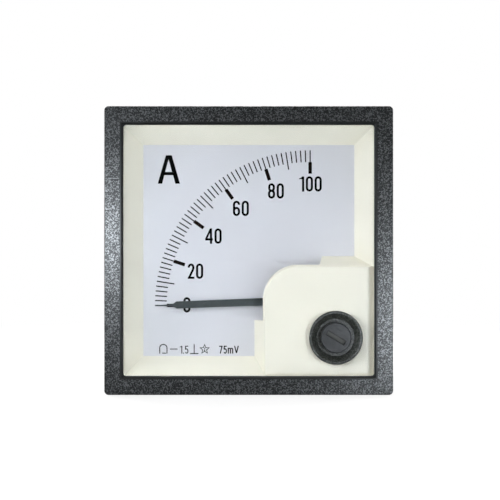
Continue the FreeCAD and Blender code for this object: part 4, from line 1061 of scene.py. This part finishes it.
def stud_thread_tree():
    """Geometry tree of a helical ridge on each of two studs."""
    inputs = {label: "Float" for label in ("Radius", "Ridge", "Pitch", "Turns")}
    inputs.update({"First Stud": "Vector", "Next Stud": "Vector", "Metal": "Material"})
    tree, given, taken = geometry_tree("stud threads", inputs)
    rise = worked(tree, "MULTIPLY", given["Pitch"], given["Turns"])
    winding = {"Resolution": 40, "Rotations": given["Turns"], "Start Radius": given["Radius"]}
    winding.update({"End Radius": given["Radius"], "Height": rise})
    helix = put(tree, "GeometryNodeCurveSpiral", winding).outputs[0]
    upright = put(tree, "GeometryNodeSetCurveNormal", {"Curve": helix}, mode="Z_UP").outputs[0]
    tooth_sizes = {"Resolution": 4, "Radius": given["Ridge"]}
    tooth = put(tree, "GeometryNodeCurvePrimitiveCircle", tooth_sizes).outputs[0]
    sweep = {"Curve": upright, "Profile Curve": tooth, "Fill Caps": True}
    ridge = put(tree, "GeometryNodeCurveToMesh", sweep).outputs[0]
    lay = {"Geometry": ridge, "Rotation": (math.radians(-90.0), 0.0, 0.0)}
    laid = put(tree, "GeometryNodeTransform", lay).outputs[0]
    line = {"Count": 2, "Start Location": given["First Stud"], "Offset": given["Next Stud"]}
    studs = put(tree, "GeometryNodeMeshLine", line).outputs[0]
    ridges = put(tree, "GeometryNodeInstanceOnPoints", {"Points": studs, "Instance": laid}).outputs[0]
    return finish_tree(tree, ridges, given["Metal"], taken)


def add_threads():
    """Threads on the free ends of both studs."""
    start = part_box("outer_nut_plus")[1].y + THREAD_START * MM
    plus = middle_of("stud_plus")
    minus = middle_of("stud_minus")
    finish = turned_metal("brass_threads", BRASS, "stud_plus", rough=0.24)
    values = {"Radius": THREAD_RADIUS * MM, "Ridge": THREAD_RIDGE * MM, "Pitch": THREAD_PITCH * MM}
    values.update({"Turns": THREAD_TURNS, "Metal": finish})
    values["First Stud"] = (plus.x, start, plus.z)
    values["Next Stud"] = (minus.x - plus.x, 0.0, 0.0)
    add_piece("stud_threads", grown("stud_threads", stud_thread_tree(), values), finish, "housing")


def add_terminal_signs(finish):
    """Raised plus and minus signs above the terminals, on the rear of the case."""
    arm, half = SIGN_REACH, SIGN_HALF_WIDTH
    cross = [(half, half), (arm, half), (arm, -half), (half, -half), (half, -arm), (-half, -arm),
             (-half, -half), (-arm, -half), (-arm, half), (-half, half), (-half, arm), (half, arm)]
    bar = [(arm, half), (arm, -half), (-arm, -half), (-arm, half)]
    for name, node_name, loop in (("plus_sign", "stud_plus", cross), ("minus_sign", "stud_minus", bar)):
        middle = middle_of(node_name) / MM
        parts = [[moved(loop, middle.x, middle.z + SIGN_ABOVE)]]
        mesh = printed(parts, SIGN_HEIGHT, CASE_BACK - SIGN_SUNK)
        sign = add_piece(name, mesh, finish, "housing")
        soften = sign.modifiers.new("soften", "BEVEL")
        soften.width = SIGN_EDGE * MM
        soften.segments = 2


# Studio

LENS = 72.3
SENSOR = 36.0
CAMERA_PLACE = (0.32, -255.0, 0.12)

# The floor: its gap below the frame, its reach, where its shadow fades out, the share of it that shows near
# the meter, and how far behind the frame it is white in metal and glass.
FLOOR_GAP = 0.1
FLOOR_REACH = 3000.0
SHADOW_FROM = 90.0
SHADOW_END = 260.0
BARE_FLOOR_SHARE = 0.2
MIRRORED_FROM = 60.0

# World light: what mirrors see in front, beside and behind, and the plain light that all surfaces get.
AHEAD_GLOW = 0.02
SIDE_GLOW = 0.25
BEHIND_GLOW = 1.0
AMBIENT = 0.76

# Lamps: name, kind, place, watts, what it points at, tint, the rays it is hidden from, and its size.
FRONT = (0.0, -5.0, -4.0)
REAR = (0.0, 30.0, 0.0)
WHITE = (1.0, 1.0, 1.0)
COOL = (0.86, 0.93, 1.0)
SMALL = {"shadow_soft_size": 0.3 * MM, "spot_size": math.radians(95.0), "spot_blend": 0.6}
TALL = {"shape": "RECTANGLE", "size": 120.0 * MM, "size_y": 300.0 * MM}
WIDE = {"shape": "RECTANGLE", "size": 300.0 * MM, "size_y": 120.0 * MM}
LOW = {"shape": "RECTANGLE", "size": 160.0 * MM, "size_y": 20.0 * MM}
DISC = {"shape": "DISK", "size": 180.0 * MM}
BROAD_DISC = {"shape": "DISK", "size": 240.0 * MM}
LAMPS = (
    ("sheen_left", "SPOT", (-56.5, -91.4, 3.7), 0.25, FRONT, COOL, ("diffuse",), SMALL),
    ("sheen_right", "SPOT", (71.9, -102.4, -23.8), 0.40, FRONT, COOL, ("diffuse",), SMALL),
    ("soft_left", "AREA", (-258.0, -135.0, 0.0), 0.37, FRONT, WHITE, ("glossy",), TALL),
    ("soft_high", "AREA", (-40.0, -120.0, 264.0), 0.06, FRONT, WHITE, ("glossy",), WIDE),
    ("soft_low", "AREA", (-10.0, -150.0, -24.0), 0.012, FRONT, WHITE, ("glossy", "transmission"), LOW),
    ("rim_left", "AREA", (-250.0, -90.0, -10.0), 0.16, FRONT, COOL, ("diffuse",), TALL),
    ("rim_right", "AREA", (260.0, -130.0, -10.0), 0.08, FRONT, COOL, ("diffuse",), TALL),
    ("back_left", "AREA", (-330.0, 330.0, 260.0), 2.2, REAR, WHITE, ("glossy",), DISC),
    ("back_right", "AREA", (360.0, 250.0, 220.0), 1.6, REAR, WHITE, ("glossy",), DISC),
    ("above", "AREA", (0.0, 90.0, 420.0), 1.6, REAR, WHITE, (), BROAD_DISC),
)

# Shades that keep the sheen lamps off the case behind the frame: the lamp, the side that its rays lean to,
# and the lean, as X over Y, at which it is shut and fully open.
SHADES = (("sheen_left", 1.0, 0.20, 0.222), ("sheen_right", -1.0, 0.32, 0.35))


def add_lamp(name, kind, place, power, target, tint, hidden_from, settings):
    """A lamp aimed at a point; it never shows itself, and is also hidden from the kinds of ray named."""
    light = bpy.data.lights.new(name, kind)
    light.energy = power
    light.color = tint
    for label, value in settings.items():
        setattr(light, label, value)
    lamp = placed(name, light)
    lamp.location = Vector(place) * MM
    way = (Vector(target) - Vector(place)) * MM
    lamp.rotation_mode = "QUATERNION"
    lamp.rotation_quaternion = way.to_track_quat("-Z", "Y")
    lamp.visible_camera = False
    for ray in hidden_from:
        setattr(lamp, "visible_" + ray, False)


def shade(light, side, shut, open_from):
    """Takes away a lamp's light where its rays lean inwards less than shut."""
    light.use_nodes = True
    tree = light.node_tree
    parts = split(tree, put(tree, "ShaderNodeNewGeometry").outputs["Incoming"])
    lean = worked(tree, "MULTIPLY", worked(tree, "DIVIDE", parts["X"], parts["Y"]), side)
    tree.links.new(eased(tree, lean, shut, open_from), tree.nodes["Emission"].inputs["Strength"])


def mirrored_rays(tree, path):
    """1 for rays that come from a mirroring or a clear surface."""
    return worked(tree, "MAXIMUM", path[GLOSSY_RAY], path[THROUGH_RAY])


def add_world():
    """White to the eye; dark ahead of the meter and bright behind it in metal and glass; even otherwise."""
    world = bpy.data.worlds.new("studio")
    world.use_nodes = True
    tree = world.node_tree
    ground = tree.nodes["Background"].inputs
    way = split(tree, put(tree, "ShaderNodeTexCoord").outputs["Generated"])
    beside = between(tree, eased(tree, way["Y"], -0.8, -0.4), AHEAD_GLOW, SIDE_GLOW)
    behind = eased(tree, way["Y"], -0.05, 0.5)
    glow = worked(tree, "MULTIPLY_ADD", behind, BEHIND_GLOW - SIDE_GLOW, beside)
    path = put(tree, "ShaderNodeLightPath").outputs
    direct = worked(tree, "LESS_THAN", path["Diffuse Depth"], 0.5)
    mirrored = worked(tree, "MULTIPLY", mirrored_rays(tree, path), direct)
    extra = worked(tree, "MULTIPLY", mirrored, worked(tree, "SUBTRACT", glow, AMBIENT))
    seen = worked(tree, "MAXIMUM", worked(tree, "ADD", extra, AMBIENT), path[CAMERA_RAY])
    ground["Color"].default_value = colour(*WHITE)
    tree.links.new(seen, ground["Strength"])
    bpy.context.scene.world = world


def floor_finish():
    """Pale floor that looks white but keeps a soft shadow near the meter."""
    made, tree, place = surface("floor_white", Roughness=1.0, Specular_IOR_Level=0.0)
    away = put(tree, "ShaderNodeVectorMath", {0: place}, operation="LENGTH").outputs["Value"]
    path = put(tree, "ShaderNodeLightPath").outputs
    behind = eased(tree, split(tree, place)["Y"], 0.0, MIRRORED_FROM * MM)
    mirrored = mirrored_rays(tree, path)
    ahead = worked(tree, "MULTIPLY", mirrored, worked(tree, "SUBTRACT", 1.0, behind))
    pale = tinted(tree, ahead, (0.85, 0.85, 0.85), (0.06, 0.06, 0.06))
    tree.links.new(pale, tree.nodes[SHADER].inputs["Base Color"])
    seen = worked(tree, "MAXIMUM", path[CAMERA_RAY], worked(tree, "MULTIPLY", mirrored, behind))
    far = eased(tree, away, SHADOW_FROM * MM, SHADOW_END * MM)
    share = worked(tree, "MULTIPLY", seen, between(tree, far, 1.0 - BARE_FLOOR_SHARE, 1.0))
    glow = put(tree, "ShaderNodeEmission", {"Strength": 1.0}).outputs[0]
    shown = put(tree, "ShaderNodeMixShader", {0: share, 1: tree.nodes[SHADER].outputs[0], 2: glow}).outputs[0]
    tree.links.new(shown, tree.nodes["Material Output"].inputs["Surface"])
    return made


def add_floor(level):
    """Square floor under the meter."""
    reach = FLOOR_REACH * MM
    corners = [(-reach, -reach, level), (reach, -reach, level), (reach, reach, level), (-reach, reach, level)]
    mesh = bpy.data.meshes.new("floor")
    mesh.from_pydata(corners, [], [(0, 1, 2, 3)])
    mesh.materials.append(floor_finish())
    floor = placed("floor", mesh)


def add_camera():
    """Camera straight in front, at the photograph's distance."""
    lens = bpy.data.cameras.new("camera")
    lens.lens = LENS
    lens.sensor_width = SENSOR
    lens.clip_start = 0.01
    camera = placed("camera", lens)
    camera.location = Vector(CAMERA_PLACE) * MM
    camera.rotation_euler = (math.radians(90.0), 0.0, 0.0)
    bpy.context.scene.camera = camera


# The meter

for part in frame["record"]["subparts"]:
    solid = frame["nodes"][part["node"]]
    solid.data.materials.clear()
    solid.data.materials.append(dress(part["node"], part["material_slot"]))

add_print()
add_mask_moulding(bpy.data.materials["ivory_mask"])
add_window_pane(bpy.data.materials["clear_window"])
add_corner_fillets(bpy.data.materials["spark_black_bezel"])
add_threads()
add_terminal_signs(bpy.data.materials["case_black"])
add_floor(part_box("bezel")[0].z - FLOOR_GAP * MM)
for row in LAMPS:
    add_lamp(*row)
for lamp_name, *shading in SHADES:
    shade(bpy.data.lights[lamp_name], *shading)
add_world()
add_camera()
bpy.context.scene.view_settings.view_transform = "Standard"
